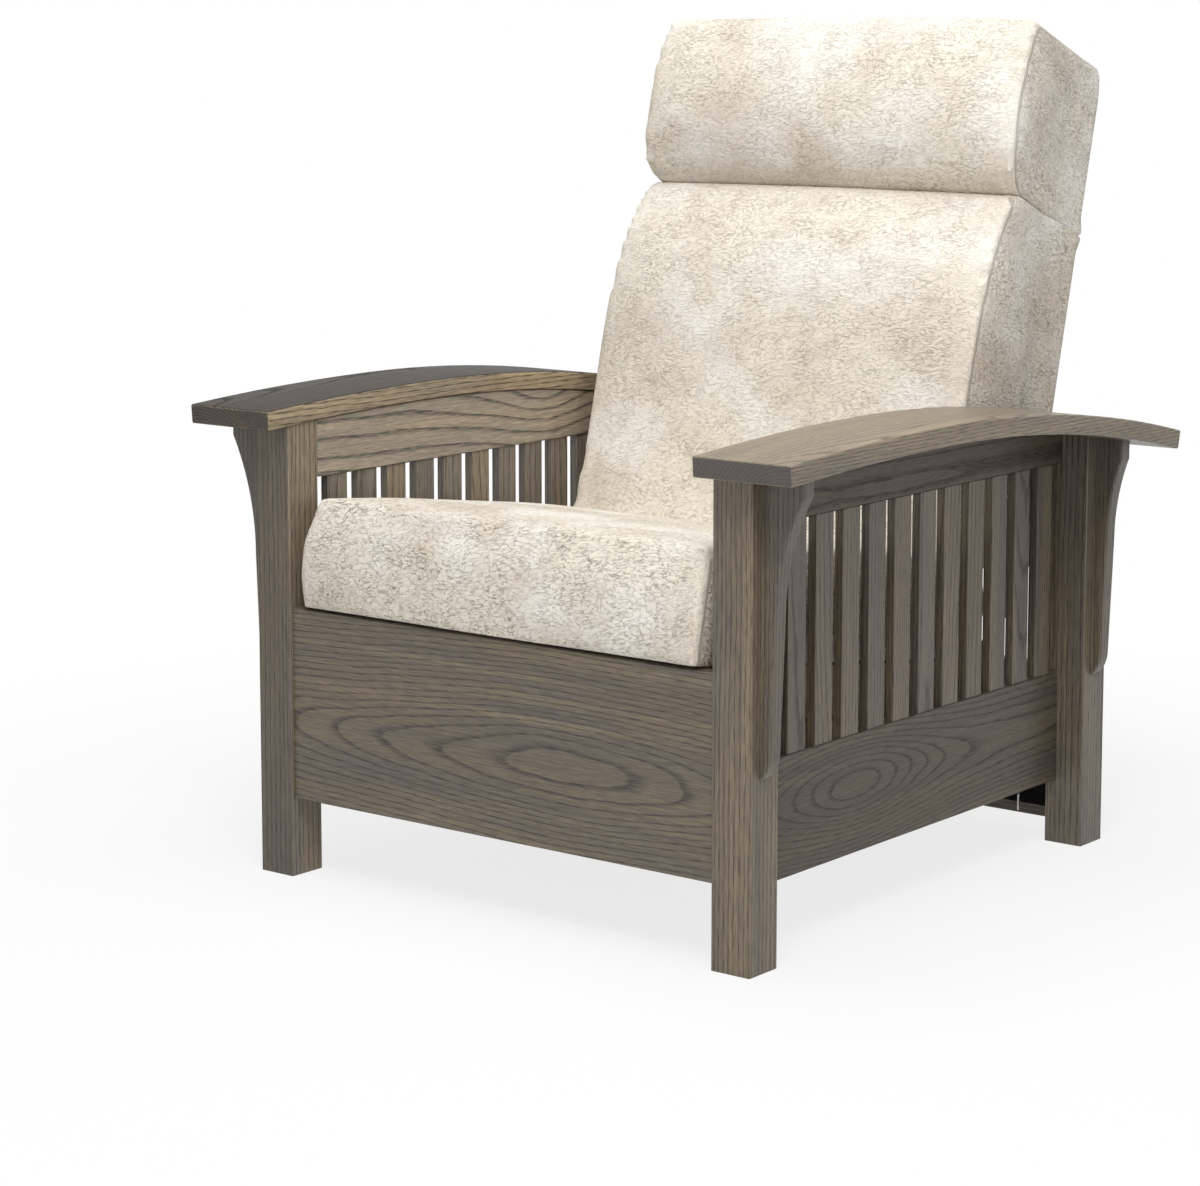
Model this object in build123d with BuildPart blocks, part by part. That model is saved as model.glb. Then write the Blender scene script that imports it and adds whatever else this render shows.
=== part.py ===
from build123d import *
from math import asin, cos, radians, sin, sqrt
import os

# Bow-arm mission chair with a back that reclines and carries the seat forward.
# Millimetres. +X is the sitter's left hand side seen from the front, +Y points to the rear, +Z up.
# The origin lies on the floor, in the middle of the chair's whole width and depth.

os.makedirs("parts", exist_ok=True)

# Frame as a whole
overall_depth = 890.0
frame_width = 714.0
back_overhang = 107.5
leg_side = 50.8
edge_round = 1.6
fit = 0.15

# Arms: sawn to two arcs that meet at the highest point
arm_width = 126.5
arm_thick = 23.0
arm_front_overhang = 34.5
arm_inner_overhang = 2.7
arm_tail = 46.0
arm_peak_from_front = 280.0
arm_peak_under_z = 546.0
arm_front_drop = 11.79
arm_rear_drop = 58.7
arm_round = 2.4
arm_tenon_side = 24.0
arm_tenon_depth = 11.0

# Side rails, slats and the joints that hold them
rail_thick = 14.3
lower_rail_bottom_z = 78.6
lower_rail_height = 136.4
upper_rail_bottom_z = 472.0
tenon_thick = 8.0
tenon_length = 20.0
tenon_shoulder = 12.0
slat_count = 12
slat_width = 34.0
slat_thick = 11.0
slat_housing = 8.0
slat_round = 0.8

# Front panel and rear apron
panel_thick = 19.0
panel_setback = 4.5
panel_bottom_z = 93.9
panel_height = 228.1
apron_bottom_z = 22.0
apron_height = 193.0
apron_setback = 5.0
panel_tenon_thick = 10.0
panel_tenon_length = 18.0
panel_tenon_shoulder = 20.0

# Corbels
corbel_thick = 20.0
corbel_front_reach = 54.0
corbel_rear_reach = 37.5
corbel_waist = 19.5
corbel_waist_z = 380.0
corbel_sweep_radius = 290.0
corbel_foot = 14.0
corbel_foot_z = 241.0
corbel_foot_radius = 40.0
corbel_spare_top = 12.0
corbel_round = 2.5

# Seat: everything on it lies in a plane that falls towards the rear
seat_slope = 8.0
seat_bottom_z = 328.0
seat_rail_thick = 22.0
seat_rail_height = 60.0
seat_frame_front = 88.0
seat_frame_rear_room = 156.0
strap_width = 50.0
strap_thick = 2.5
strap_gap = 0.1
strap_count_long = 5
strap_count_cross = 4
slide_gap = 0.3
runner_height = 40.0
runner_width = 48.0

# Seat cushion
seat_cushion_side_room = 8.2
seat_cushion_front = -8.0
seat_cushion_rear_room = 181.0
seat_cushion_thick = 126.0
seat_crown = 6.0
seat_front_drop = 6.0
seat_rear_drop = 23.3
seat_peak_share = 0.33
seat_side_draw = 3.5
seat_edge_inset = 8.0
seat_front_lean = 20.0
seat_bottom_inset = 6.0
seat_mid_share = 0.42

# Back: laid out from its rear face
back_lean = 14.5
back_foot_z = 395.0
back_side_room = 25.2
back_depth_bottom = 220.0
back_depth_middle = 206.0
back_depth_shoulder = 185.0
back_shoulder_drop = 58.0
back_shoulder_tilt = 5.5
back_depth_crease = 164.0
back_crease_depth = 152.0
back_crease_inset = 5.0
back_crown = 7.0
back_side_draw = 3.5
back_crease_height = 358.0
back_crease_round = 9.0
back_crease_tilt = 6.9
back_below_foot = 90.0
headrest_height = 214.0
headrest_depth_low = 178.0
headrest_depth_middle = 187.0
headrest_depth_top = 168.5
headrest_low_round = 16.0
headrest_top_round = 9.0
headrest_top_inset = 12.0
soft_gap = 0.6
back_wrap = 5.0

# Back frame
back_board_thick = 8.0
stile_thick = 22.0
stile_depth = 45.0
back_frame_below = 25.0
back_frame_above = 530.0

# Reclining gear
recline_range = 22.0
pivot_from_rear_leg = 128.0
pivot_z = 430.0
crank = 130.0
plate_thick = 5.0
plate_lobe_radius = 18.0
plate_corner_radius = 14.0
plate_half_height = 32.0
plate_leg_inset = 22.0
arm_plate_thick = 4.0
arm_plate_gap = 8.2
arm_lobe_radius = 13.0
pivot_pin_radius = 5.0
pivot_head_radius = 9.0
pivot_head_thick = 2.4
running_gap = 0.06
side_gap = 0.3
bush_radius = 9.0
stud_radius = 4.0
stud_length = 9.0
slot_spare = 0.5
bracket_thick = 4.0
bracket_gap = 3.2
bracket_end_inset = 12.0
bracket_length = 50.0
bracket_drop = 38.0
bracket_lobe_radius = 11.0
arm_screw_low = 25.0
arm_screw_high = 95.0
screw_radius = 2.5
screw_head_radius = 5.0
screw_head_thick = 2.2
screw_length = 16.0

# Wire hooks and dust cover on the apron
hook_mid_x = 257.0
hook_wire_radius = 1.5
hook_bend = 5.0
hook_stand_off = 6.0
hook_shank = 10.0
hook_top_z = 50.0
hook_low_z = 27.0
cover_thick = 1.2
cover_bottom_z = 36.0
cover_side_gap = 4.0

# Places worked out from the sizes above
frame_depth = overall_depth - arm_front_overhang - back_overhang
leg_front_y = -overall_depth / 2 + arm_front_overhang
leg_rear_y = leg_front_y + frame_depth
leg_out_x = frame_width / 2
leg_in_x = leg_out_x - leg_side
leg_mid_x = leg_out_x - leg_side / 2
leg_mid_y = {"front": leg_front_y + leg_side / 2, "rear": leg_rear_y - leg_side / 2}
arm_in_x = leg_in_x - arm_inner_overhang
arm_out_x = arm_in_x + arm_width
peak_y = leg_front_y + arm_peak_from_front
rail_front_y = leg_front_y + leg_side
rail_rear_y = leg_rear_y - leg_side
rail_length = rail_rear_y - rail_front_y
rail_mid_y = (rail_front_y + rail_rear_y) / 2
rail_mid_x = leg_in_x + rail_thick / 2
lower_rail_top_z = lower_rail_bottom_z + lower_rail_height
slat_gap = (rail_length - slat_count * slat_width) / (slat_count + 1)
slat_pitch = slat_width + slat_gap
slat_ys = [rail_front_y + slat_gap + slat_width / 2 + n * slat_pitch for n in range(slat_count)]
panel_mid_y = leg_front_y + panel_setback + panel_thick / 2
panel_rear_y = leg_front_y + panel_setback + panel_thick
apron_mid_y = leg_rear_y - apron_setback - panel_thick / 2
apron_front_y = leg_rear_y - apron_setback - panel_thick
sides = (("left", -1), ("right", 1))
ends = (("front", -1), ("rear", 1))

# Widths and lengths of the padded pieces, from the room that the frame leaves them
seat_cushion_half_width = leg_in_x - seat_cushion_side_room
back_half_width = leg_in_x - back_side_room
back_frame_half_width = back_half_width - back_wrap
arm_plate_in_x = back_frame_half_width + arm_plate_gap
arm_plate_out_x = arm_plate_in_x + arm_plate_thick
pivot_plate_in_x = leg_in_x - plate_thick
seat_frame_half_width = arm_plate_in_x - bracket_gap - bracket_thick
seat_frame_rear = frame_depth - seat_frame_rear_room
seat_cushion_rear = frame_depth - seat_cushion_rear_room
bracket_rear = seat_frame_rear - bracket_end_inset
bracket_front = bracket_rear - bracket_length

# The seat's plane starts at the legs' front face: x across, y down the slope to the rear
seat_cos = cos(radians(seat_slope))
seat_sin = sin(radians(seat_slope))
seat_plane = Plane(
    origin=(0, leg_front_y, seat_bottom_z), x_dir=(1, 0, 0), z_dir=(0, seat_sin, seat_cos)
)


def on_seat(along, above):
    """World (y, z) of a point given along and above the seat's plane."""
    return (
        leg_front_y + along * seat_cos + above * seat_sin,
        seat_bottom_z - along * seat_sin + above * seat_cos,
    )


# The back's plane is its rear face: x across, y up the lean, z forward into the padding
back_cos = cos(radians(back_lean))
back_sin = sin(radians(back_lean))
back_foot_y = overall_depth / 2 - (back_crease_height + headrest_height) * back_sin
back_plane = Plane(
    origin=(0, back_foot_y, back_foot_z), x_dir=(1, 0, 0), z_dir=(0, -back_cos, back_sin)
)


def on_back(up, forward):
    """World (y, z) of a point given up the back and forward of its rear face."""
    return (
        back_foot_y + up * back_sin - forward * back_cos,
        back_foot_z + up * back_cos + forward * back_sin,
    )


# Reclining gear: the pivot, and the stud under it that carries the seat forward
half_swing = radians(recline_range / 2)
link_angle = half_swing - radians(seat_slope)
pivot = (leg_rear_y - pivot_from_rear_leg, pivot_z)
link = (pivot[0] + crank * sin(link_angle), pivot[1] - crank * cos(link_angle))
link_along = (link[0] - leg_front_y) * seat_cos - (link[1] - seat_bottom_z) * seat_sin
link_above = (link[0] - leg_front_y) * seat_sin + (link[1] - seat_bottom_z) * seat_cos
link_dip = crank * (1 - cos(half_swing))
plate_leg_y = leg_rear_y - plate_leg_inset
plate_screw_places = tuple(
    (plate_leg_y, pivot_z + n * plate_half_height) for n in (-1, 0, 1)
)
stile_mid_forward = back_board_thick + stile_depth / 2
arm_screw_places = (
    on_back(arm_screw_low, stile_mid_forward),
    on_back(arm_screw_high, stile_mid_forward),
)
bracket_places = (on_seat(bracket_front, -bracket_drop), on_seat(bracket_rear, -bracket_drop))
hook_y = apron_front_y - cover_thick - hook_stand_off
hook_sag = hook_bend * (1 - sqrt(1 / 2))


def arc_radius(run, drop):
    """The radius of an arc that falls by `drop` over `run` from its highest point."""
    return (run**2 + drop**2) / (2 * drop)


arm_front_top_y = -overall_depth / 2
arm_rear_top_y = leg_rear_y + arm_tail
arm_front_radius = arc_radius(peak_y - arm_front_top_y, arm_front_drop)
arm_rear_radius = arc_radius(arm_rear_top_y - peak_y, arm_rear_drop)


def bow(y, above):
    """A point on the arm's bow, `above` its underside, as (y, z)."""
    base = arm_front_radius if y < peak_y else arm_rear_radius
    return (y, arm_peak_under_z - base + sqrt((base + above) ** 2 - (y - peak_y) ** 2))


def cut_square(y, base):
    """Where the square cut from the top corner at y meets the underside."""
    return peak_y + (y - peak_y) * base / (base + arm_thick)


arm_front_low_y = cut_square(arm_front_top_y, arm_front_radius)
arm_rear_low_y = cut_square(arm_rear_top_y, arm_rear_radius)


def bow_line(front_y, rear_y, above):
    """Draw the bow as two arcs, from the front to the rear."""
    ThreePointArc(bow(front_y, above), bow((front_y + peak_y) / 2, above), bow(peak_y, above))
    ThreePointArc(bow(peak_y, above), bow((peak_y + rear_y) / 2, above), bow(rear_y, above))


# The space that the arms take, which the legs, rails and corbels are cut to
with BuildPart() as arm_space:
    with BuildSketch(Plane.YZ):
        with BuildLine():
            bow_line(arm_front_low_y, arm_rear_low_y, 0)
            Polyline(
                bow(arm_rear_low_y, 0),
                (arm_rear_low_y, arm_peak_under_z + arm_width),
                (arm_front_low_y, arm_peak_under_z + arm_width),
                bow(arm_front_low_y, 0),
            )
        make_face()
    extrude(amount=arm_out_x, both=True)

for side_name, side in sides:
    with BuildPart() as arm:
        with BuildSketch(Plane.YZ.offset(side * arm_in_x)):
            with BuildLine():
                bow_line(arm_front_top_y, arm_rear_top_y, arm_thick)
                Line(bow(arm_rear_top_y, arm_thick), bow(arm_rear_low_y, 0))
                bow_line(arm_front_low_y, arm_rear_low_y, 0)
                Line(bow(arm_front_low_y, 0), bow(arm_front_top_y, arm_thick))
            make_face()
        extrude(amount=side * arm_width)
        fillet(arm.edges().filter_by(lambda e: abs(e.center().Y - peak_y) > arm_thick), arm_round)
        for end_name, _ in ends:
            mid_y = leg_mid_y[end_name]
            with Locations((side * leg_mid_x, mid_y, bow(mid_y, arm_tenon_depth / 2)[1])):
                Box(
                    arm_tenon_side + 2 * fit,
                    arm_tenon_side + 2 * fit,
                    arm_tenon_depth + arm_thick / 3,
                    mode=Mode.SUBTRACT,
                )
    arm.part.label = f"arm_{side_name}"
    export_step(arm.part, f"parts/arm_{side_name}.step")

# Legs, with mortises for the rails and for the panel or the apron
upper_rail_end_z = {"front": bow(rail_front_y, 0)[1], "rear": bow(rail_rear_y, 0)[1]}
cross_board = {
    "front": (panel_mid_y, panel_bottom_z, panel_height),
    "rear": (apron_mid_y, apron_bottom_z, apron_height),
}
for side_name, side in sides:
    for end_name, end in ends:
        mid_y = leg_mid_y[end_name]
        face_y = mid_y - end * leg_side / 2
        with BuildPart() as leg:
            with BuildSketch(Plane.XY):
                with Locations((side * leg_mid_x, mid_y)):
                    Rectangle(leg_side, leg_side)
            extrude(amount=arm_peak_under_z)
            fillet(leg.edges().filter_by(Axis.Z), edge_round)
            add(arm_space.part, mode=Mode.SUBTRACT)
            with Locations((side * leg_mid_x, mid_y, bow(mid_y, 0)[1])):
                Box(arm_tenon_side, arm_tenon_side, 2 * arm_tenon_depth)
            upper_top = upper_rail_end_z[end_name] - tenon_shoulder
            upper_low = upper_rail_bottom_z + tenon_shoulder / 2
            lower_top = lower_rail_top_z - tenon_shoulder
            lower_low = lower_rail_bottom_z + tenon_shoulder
            for low_z, top_z in ((upper_low, upper_top), (lower_low, lower_top)):
                with Locations((side * rail_mid_x, face_y, (low_z + top_z) / 2)):
                    Box(
                        tenon_thick + 2 * fit,
                        2 * (tenon_length + fit),
                        top_z - low_z + 2 * fit,
                        mode=Mode.SUBTRACT,
                    )
            board_y, board_z, board_height = cross_board[end_name]
            with Locations((side * leg_in_x, board_y, board_z + board_height / 2)):
                Box(
                    2 * (panel_tenon_length + fit),
                    panel_tenon_thick + 2 * fit,
                    board_height - 2 * panel_tenon_shoulder + 2 * fit,
                    mode=Mode.SUBTRACT,
                )
            if end_name == "rear":
                with BuildSketch(Plane.YZ.offset(side * leg_in_x)):
                    with Locations(*plate_screw_places):
                        Circle(screw_radius + running_gap)
                extrude(amount=side * (screw_length + fit), mode=Mode.SUBTRACT)
        leg.part.label = f"{end_name}_leg_{side_name}"
        export_step(leg.part, f"parts/{end_name}_leg_{side_name}.step")

# Side rails: the upper one follows the bow, the lower one is straight
for side_name, side in sides:
    with BuildPart() as upper_rail:
        with BuildSketch(Plane.YZ.offset(side * leg_in_x)):
            with BuildLine():
                bow_line(rail_front_y, rail_rear_y, 0)
                Polyline(
                    bow(rail_rear_y, 0),
                    (rail_rear_y, upper_rail_bottom_z),
                    (rail_front_y, upper_rail_bottom_z),
                    bow(rail_front_y, 0),
                )
            make_face()
        extrude(amount=side * rail_thick)
        tenon_x = side * rail_mid_x
        for end_name, _ in ends:
            end_y = rail_front_y if end_name == "front" else rail_rear_y
            low_z = upper_rail_bottom_z + tenon_shoulder / 2
            top_z = upper_rail_end_z[end_name] - tenon_shoulder
            with Locations((tenon_x, end_y, (low_z + top_z) / 2)):
                Box(tenon_thick, 2 * tenon_length, top_z - low_z)
        with BuildSketch(Plane.XY.offset(upper_rail_bottom_z)):
            with Locations(*[(side * rail_mid_x, y) for y in slat_ys]):
                Rectangle(slat_thick + 2 * fit, slat_width + 2 * fit)
        extrude(amount=slat_housing + fit, mode=Mode.SUBTRACT)
    upper_rail.part.label = f"upper_side_rail_{side_name}"
    export_step(upper_rail.part, f"parts/upper_side_rail_{side_name}.step")

    with BuildPart() as lower_rail:
        with BuildSketch(Plane.YZ.offset(side * leg_in_x)):
            with Locations((rail_mid_y, lower_rail_bottom_z + lower_rail_height / 2)):
                Rectangle(rail_length, lower_rail_height)
        extrude(amount=side * rail_thick)
        fillet(lower_rail.edges().filter_by(Axis.Y), edge_round)
        with Locations((tenon_x, rail_mid_y, lower_rail_bottom_z + lower_rail_height / 2)):
            Box(tenon_thick, rail_length + 2 * tenon_length, lower_rail_height - 2 * tenon_shoulder)
        with BuildSketch(Plane.XY.offset(lower_rail_top_z)):
            with Locations(*[(side * rail_mid_x, y) for y in slat_ys]):
                Rectangle(slat_thick + 2 * fit, slat_width + 2 * fit)
        extrude(amount=-(slat_housing + fit), mode=Mode.SUBTRACT)
    lower_rail.part.label = f"lower_side_rail_{side_name}"
    export_step(lower_rail.part, f"parts/lower_side_rail_{side_name}.step")

    for n, mid_y in enumerate(slat_ys, start=1):
        with BuildPart() as side_slat:
            with BuildSketch(Plane.XY.offset(lower_rail_top_z - slat_housing)):
                with Locations((side * rail_mid_x, mid_y)):
                    Rectangle(slat_thick, slat_width)
            extrude(amount=upper_rail_bottom_z - lower_rail_top_z + 2 * slat_housing)
            fillet(side_slat.edges().filter_by(Axis.Z), slat_round)
        side_slat.part.label = f"side_slat_{side_name}_{n:02d}"
        export_step(side_slat.part, f"parts/side_slat_{side_name}_{n:02d}.step")

# Corbels: a land under the arm, a long sweep, and a rounded foot
for side_name, side in sides:
    for end_name, _ in ends:
        reach = corbel_front_reach if end_name == "front" else corbel_rear_reach
        mid_y = leg_mid_y[end_name]
        top_z = bow(mid_y, corbel_spare_top)[1]
        sweep_in = corbel_sweep_radius - (reach - corbel_waist)
        sweep_rise = sqrt(corbel_sweep_radius**2 - sweep_in**2)
        sweep_half = asin(sweep_rise / corbel_sweep_radius) / 2
        foot_in = corbel_foot_radius - corbel_foot
        foot_fall = sqrt(corbel_foot_radius**2 - foot_in**2)
        foot_half = asin(foot_fall / corbel_foot_radius) / 2
        with BuildPart() as corbel:
            with BuildSketch(Plane.XZ.offset(-mid_y)):
                with BuildLine():
                    Polyline(
                        (side * leg_out_x, corbel_foot_z - foot_fall),
                        (side * leg_out_x, top_z),
                        (side * (leg_out_x + reach), top_z),
                        (side * (leg_out_x + reach), corbel_waist_z + sweep_rise),
                    )
                    ThreePointArc(
                        (side * (leg_out_x + reach), corbel_waist_z + sweep_rise),
                        (
                            side * (leg_out_x + corbel_waist + corbel_sweep_radius * (1 - cos(sweep_half))),
                            corbel_waist_z + corbel_sweep_radius * sin(sweep_half),
                        ),
                        (side * (leg_out_x + corbel_waist), corbel_waist_z),
                    )
                    Line(
                        (side * (leg_out_x + corbel_waist), corbel_waist_z),
                        (side * (leg_out_x + corbel_foot), corbel_foot_z),
                    )
                    ThreePointArc(
                        (side * (leg_out_x + corbel_foot), corbel_foot_z),
                        (
                            side * (leg_out_x + corbel_foot - corbel_foot_radius * (1 - cos(foot_half))),
                            corbel_foot_z - corbel_foot_radius * sin(foot_half),
                        ),
                        (side * leg_out_x, corbel_foot_z - foot_fall),
                    )
                make_face()
            extrude(amount=corbel_thick / 2, both=True)
            add(arm_space.part, mode=Mode.SUBTRACT)
            long_edges = corbel.edges().filter_by(
                lambda e: abs(abs(e.center().Y - mid_y) - corbel_thick / 2) < fit
                and abs(e.center().X) - leg_out_x > fit
                and e.center().Z < bow(mid_y, 0)[1] - 2 * corbel_round
            )
            fillet(long_edges, corbel_round)
        corbel.part.label = f"{end_name}_corbel_{side_name}"
        export_step(corbel.part, f"parts/{end_name}_corbel_{side_name}.step")

# Front panel and rear apron, tenoned into the legs
with BuildPart() as front_panel:
    with BuildSketch(Plane.XZ.offset(-panel_mid_y)):
        with Locations((0, panel_bottom_z + panel_height / 2)):
            Rectangle(2 * leg_in_x, panel_height)
    extrude(amount=panel_thick / 2, both=True)
    fillet(front_panel.edges().filter_by(Axis.X), edge_round)
    with Locations((0, panel_mid_y, panel_bottom_z + panel_height / 2)):
        Box(
            2 * (leg_in_x + panel_tenon_length),
            panel_tenon_thick,
            panel_height - 2 * panel_tenon_shoulder,
        )
front_panel.part.label = "front_panel"
export_step(front_panel.part, "parts/front_panel.step")

with BuildPart() as rear_apron:
    with BuildSketch(Plane.XZ.offset(-apron_mid_y)):
        with Locations((0, apron_bottom_z + apron_height / 2)):
            Rectangle(2 * leg_in_x, apron_height)
    extrude(amount=panel_thick / 2, both=True)
    fillet(rear_apron.edges().filter_by(Axis.X), edge_round)
    with Locations((0, apron_mid_y, apron_bottom_z + apron_height / 2)):
        Box(
            2 * (leg_in_x + panel_tenon_length),
            panel_tenon_thick,
            apron_height - 2 * panel_tenon_shoulder,
        )
    with BuildSketch(Plane.XZ.offset(-apron_front_y)):
        with Locations((-hook_mid_x, hook_top_z), (hook_mid_x, hook_top_z)):
            Circle(hook_wire_radius + fit)
    extrude(amount=-(hook_shank + fit), mode=Mode.SUBTRACT)
rear_apron.part.label = "rear_apron"
export_step(rear_apron.part, "parts/rear_apron.step")

# Black dust cover on the apron's inner face
with BuildPart() as dust_cover:
    with BuildSketch(Plane.XZ.offset(-apron_front_y)):
        with Locations((0, (cover_bottom_z + apron_bottom_z + apron_height) / 2)):
            Rectangle(2 * (leg_in_x - cover_side_gap), apron_bottom_z + apron_height - cover_bottom_z)
        with Locations((-hook_mid_x, hook_top_z), (hook_mid_x, hook_top_z)):
            Circle(hook_wire_radius + fit, mode=Mode.SUBTRACT)
    extrude(amount=cover_thick)
dust_cover.part.label = "dust_cover"
export_step(dust_cover.part, "parts/dust_cover.step")

# Seat frame: rails in the seat's plane
seat_frame_top = -2 * strap_thick - strap_gap
seat_frame_low = seat_frame_top - seat_rail_height
seat_frame_length = seat_frame_rear - seat_frame_front
seat_frame_mid = (seat_frame_front + seat_frame_rear) / 2
seat_inner_x = seat_frame_half_width - seat_rail_thick

with BuildPart() as seat_side_rails:
    with BuildSketch(seat_plane.offset(seat_frame_low)):
        for _, side in sides:
            with Locations((side * (seat_frame_half_width - seat_rail_thick / 2), seat_frame_mid)):
                Rectangle(seat_rail_thick, seat_frame_length)
    extrude(amount=seat_rail_height)
    fillet(seat_side_rails.edges().filter_by(Axis((0, 0, 0), seat_plane.y_dir)), edge_round)
    for _, side in sides:
        with BuildSketch(Plane.YZ.offset(side * seat_frame_half_width)):
            with Locations(*bracket_places):
                Circle(screw_radius + running_gap)
        extrude(amount=-side * (screw_length + fit), mode=Mode.SUBTRACT)
seat_side_rails.part.label = "seat_side_rails"
export_step(seat_side_rails.part, "parts/seat_side_rails.step")

with BuildPart() as seat_cross_rails:
    with BuildSketch(seat_plane.offset(seat_frame_low)):
        for along in (seat_frame_front, seat_frame_rear - seat_rail_thick):
            with Locations((0, along + seat_rail_thick / 2)):
                Rectangle(2 * seat_inner_x, seat_rail_thick)
    extrude(amount=seat_rail_height)
seat_cross_rails.part.label = "seat_cross_rails"
export_step(seat_cross_rails.part, "parts/seat_cross_rails.step")

# Runners: cleats from the front panel to the dust cover, their tops parallel to the seat
runner_end_y = apron_front_y - cover_thick
runner_fall = seat_sin / seat_cos
runner_start = on_seat(0, seat_frame_low - slide_gap)
runner_front_z = runner_start[1] - (panel_rear_y - runner_start[0]) * runner_fall
runner_rear_z = runner_start[1] - (runner_end_y - runner_start[0]) * runner_fall
with BuildPart() as seat_runners:
    for _, side in sides:
        with BuildSketch(Plane.YZ.offset(side * leg_in_x)):
            with BuildLine():
                Polyline(
                    (panel_rear_y, runner_front_z),
                    (runner_end_y, runner_rear_z),
                    (runner_end_y, runner_rear_z - runner_height),
                    (panel_rear_y, runner_front_z - runner_height),
                    close=True,
                )
            make_face()
        extrude(amount=-side * runner_width)
seat_runners.part.label = "seat_runners"
export_step(seat_runners.part, "parts/seat_runners.step")

# Webbing: cross straps on the frame, long straps over them
cross_pitch = (seat_frame_length - strap_width) / strap_count_cross
long_pitch = 2 * seat_inner_x / strap_count_long
with BuildPart() as seat_webbing:
    with BuildSketch(seat_plane.offset(seat_frame_top)):
        for n in range(strap_count_cross):
            with Locations((0, seat_frame_front + (strap_width + cross_pitch) / 2 + n * cross_pitch)):
                Rectangle(2 * seat_frame_half_width, strap_width)
    extrude(amount=strap_thick)
    with BuildSketch(seat_plane.offset(seat_frame_top + strap_thick + strap_gap)):
        for n in range(strap_count_long):
            with Locations((long_pitch * n - (2 * seat_inner_x - long_pitch) / 2, seat_frame_mid)):
                Rectangle(strap_width, seat_frame_length)
    extrude(amount=strap_thick)
seat_webbing.part.label = "seat_webbing"
export_step(seat_webbing.part, "parts/seat_webbing.step")


def pillow_outline(half_width, front, rear, draw, front_bulge):
    """Draw a pillow's outline in plan: sides and rear drawn in, front as given."""
    mid = (front + rear) / 2
    ThreePointArc((-half_width, front), (0, front - front_bulge), (half_width, front))
    ThreePointArc((half_width, front), (half_width - draw, mid), (half_width, rear))
    ThreePointArc((half_width, rear), (0, rear - draw), (-half_width, rear))
    ThreePointArc((-half_width, rear), (draw - half_width, mid), (-half_width, front))


def seat_crown_outline(above):
    """Draw the seat from its side: crowned on top, and run on level behind its rear edge."""
    front_top = seat_crown_z - seat_front_drop + above
    rear_top = seat_crown_z - seat_rear_drop + above
    behind = seat_cushion_rear + overall_depth
    ThreePointArc(
        (seat_cushion_front, front_top),
        (seat_cushion_rear * seat_peak_share, seat_crown_z + above),
        (seat_cushion_rear, rear_top),
    )
    Polyline(
        (seat_cushion_rear, rear_top),
        (behind, rear_top),
        (behind, 0),
        (seat_cushion_front, 0),
        (seat_cushion_front, front_top),
    )


# Seat cushion: widest at the middle of its height, cut off above by its crown
seat_crown_z = seat_cushion_thick + seat_crown
with BuildPart() as seat_cushion:
    for level, inset, lean in (
        (0, seat_bottom_inset, seat_bottom_inset),
        (seat_cushion_thick * seat_mid_share, 0, 0),
        (seat_crown_z, seat_edge_inset, seat_front_lean),
    ):
        with BuildSketch(seat_plane.offset(level)):
            with BuildLine():
                pillow_outline(
                    seat_cushion_half_width - inset,
                    seat_cushion_front + lean,
                    seat_cushion_rear - inset,
                    seat_side_draw,
                    seat_side_draw,
                )
            make_face()
    loft()
    crown_end = Plane(
        origin=(0, *on_seat(seat_cushion_front - seat_edge_inset, 0)),
        x_dir=(1, 0, 0),
        z_dir=(0, -seat_cos, seat_sin),
    )
    with BuildSketch(crown_end):
        with BuildLine():
            ThreePointArc(
                (-seat_cushion_half_width, seat_cushion_thick),
                (0, seat_crown_z),
                (seat_cushion_half_width, seat_cushion_thick),
            )
            Polyline(
                (seat_cushion_half_width, seat_cushion_thick),
                (seat_cushion_half_width, 0),
                (-seat_cushion_half_width, 0),
                (-seat_cushion_half_width, seat_cushion_thick),
            )
        make_face()
    extrude(amount=-(seat_cushion_rear - seat_cushion_front + 2 * seat_edge_inset), mode=Mode.INTERSECT)
    crown_side = Plane(
        origin=(-seat_cushion_half_width, *on_seat(0, 0)),
        x_dir=(0, seat_cos, -seat_sin),
        z_dir=(1, 0, 0),
    )
    with BuildSketch(crown_side):
        with BuildLine():
            seat_crown_outline(0)
        make_face()
    extrude(amount=2 * seat_cushion_half_width, mode=Mode.INTERSECT)
seat_cushion.part.label = "seat_cushion"
export_step(seat_cushion.part, "parts/seat_cushion.step")

# Back: padding lofted through sections laid out on the back's rear face
def back_section(up, tilt):
    """A plane across the back: x across, y forward, its front raised by a further tilt."""
    lean = radians(back_lean + tilt)
    return Plane(origin=(0, *on_back(up, 0)), x_dir=(-1, 0, 0), z_dir=(0, sin(lean), cos(lean)))


def padded_section(up, tilt, half_width, depth):
    """One section of the padding, flat behind, drawn in at the sides, crowned in front."""
    with BuildSketch(back_section(up, tilt), mode=Mode.PRIVATE) as section:
        with BuildLine():
            Line((-half_width, 0), (half_width, 0))
            ThreePointArc(
                (half_width, 0), (half_width - back_side_draw, depth / 2), (half_width, depth)
            )
            ThreePointArc((half_width, depth), (0, depth + back_crown), (-half_width, depth))
            ThreePointArc(
                (-half_width, depth), (back_side_draw - half_width, depth / 2), (-half_width, 0)
            )
        make_face()
    return section.sketch


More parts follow.
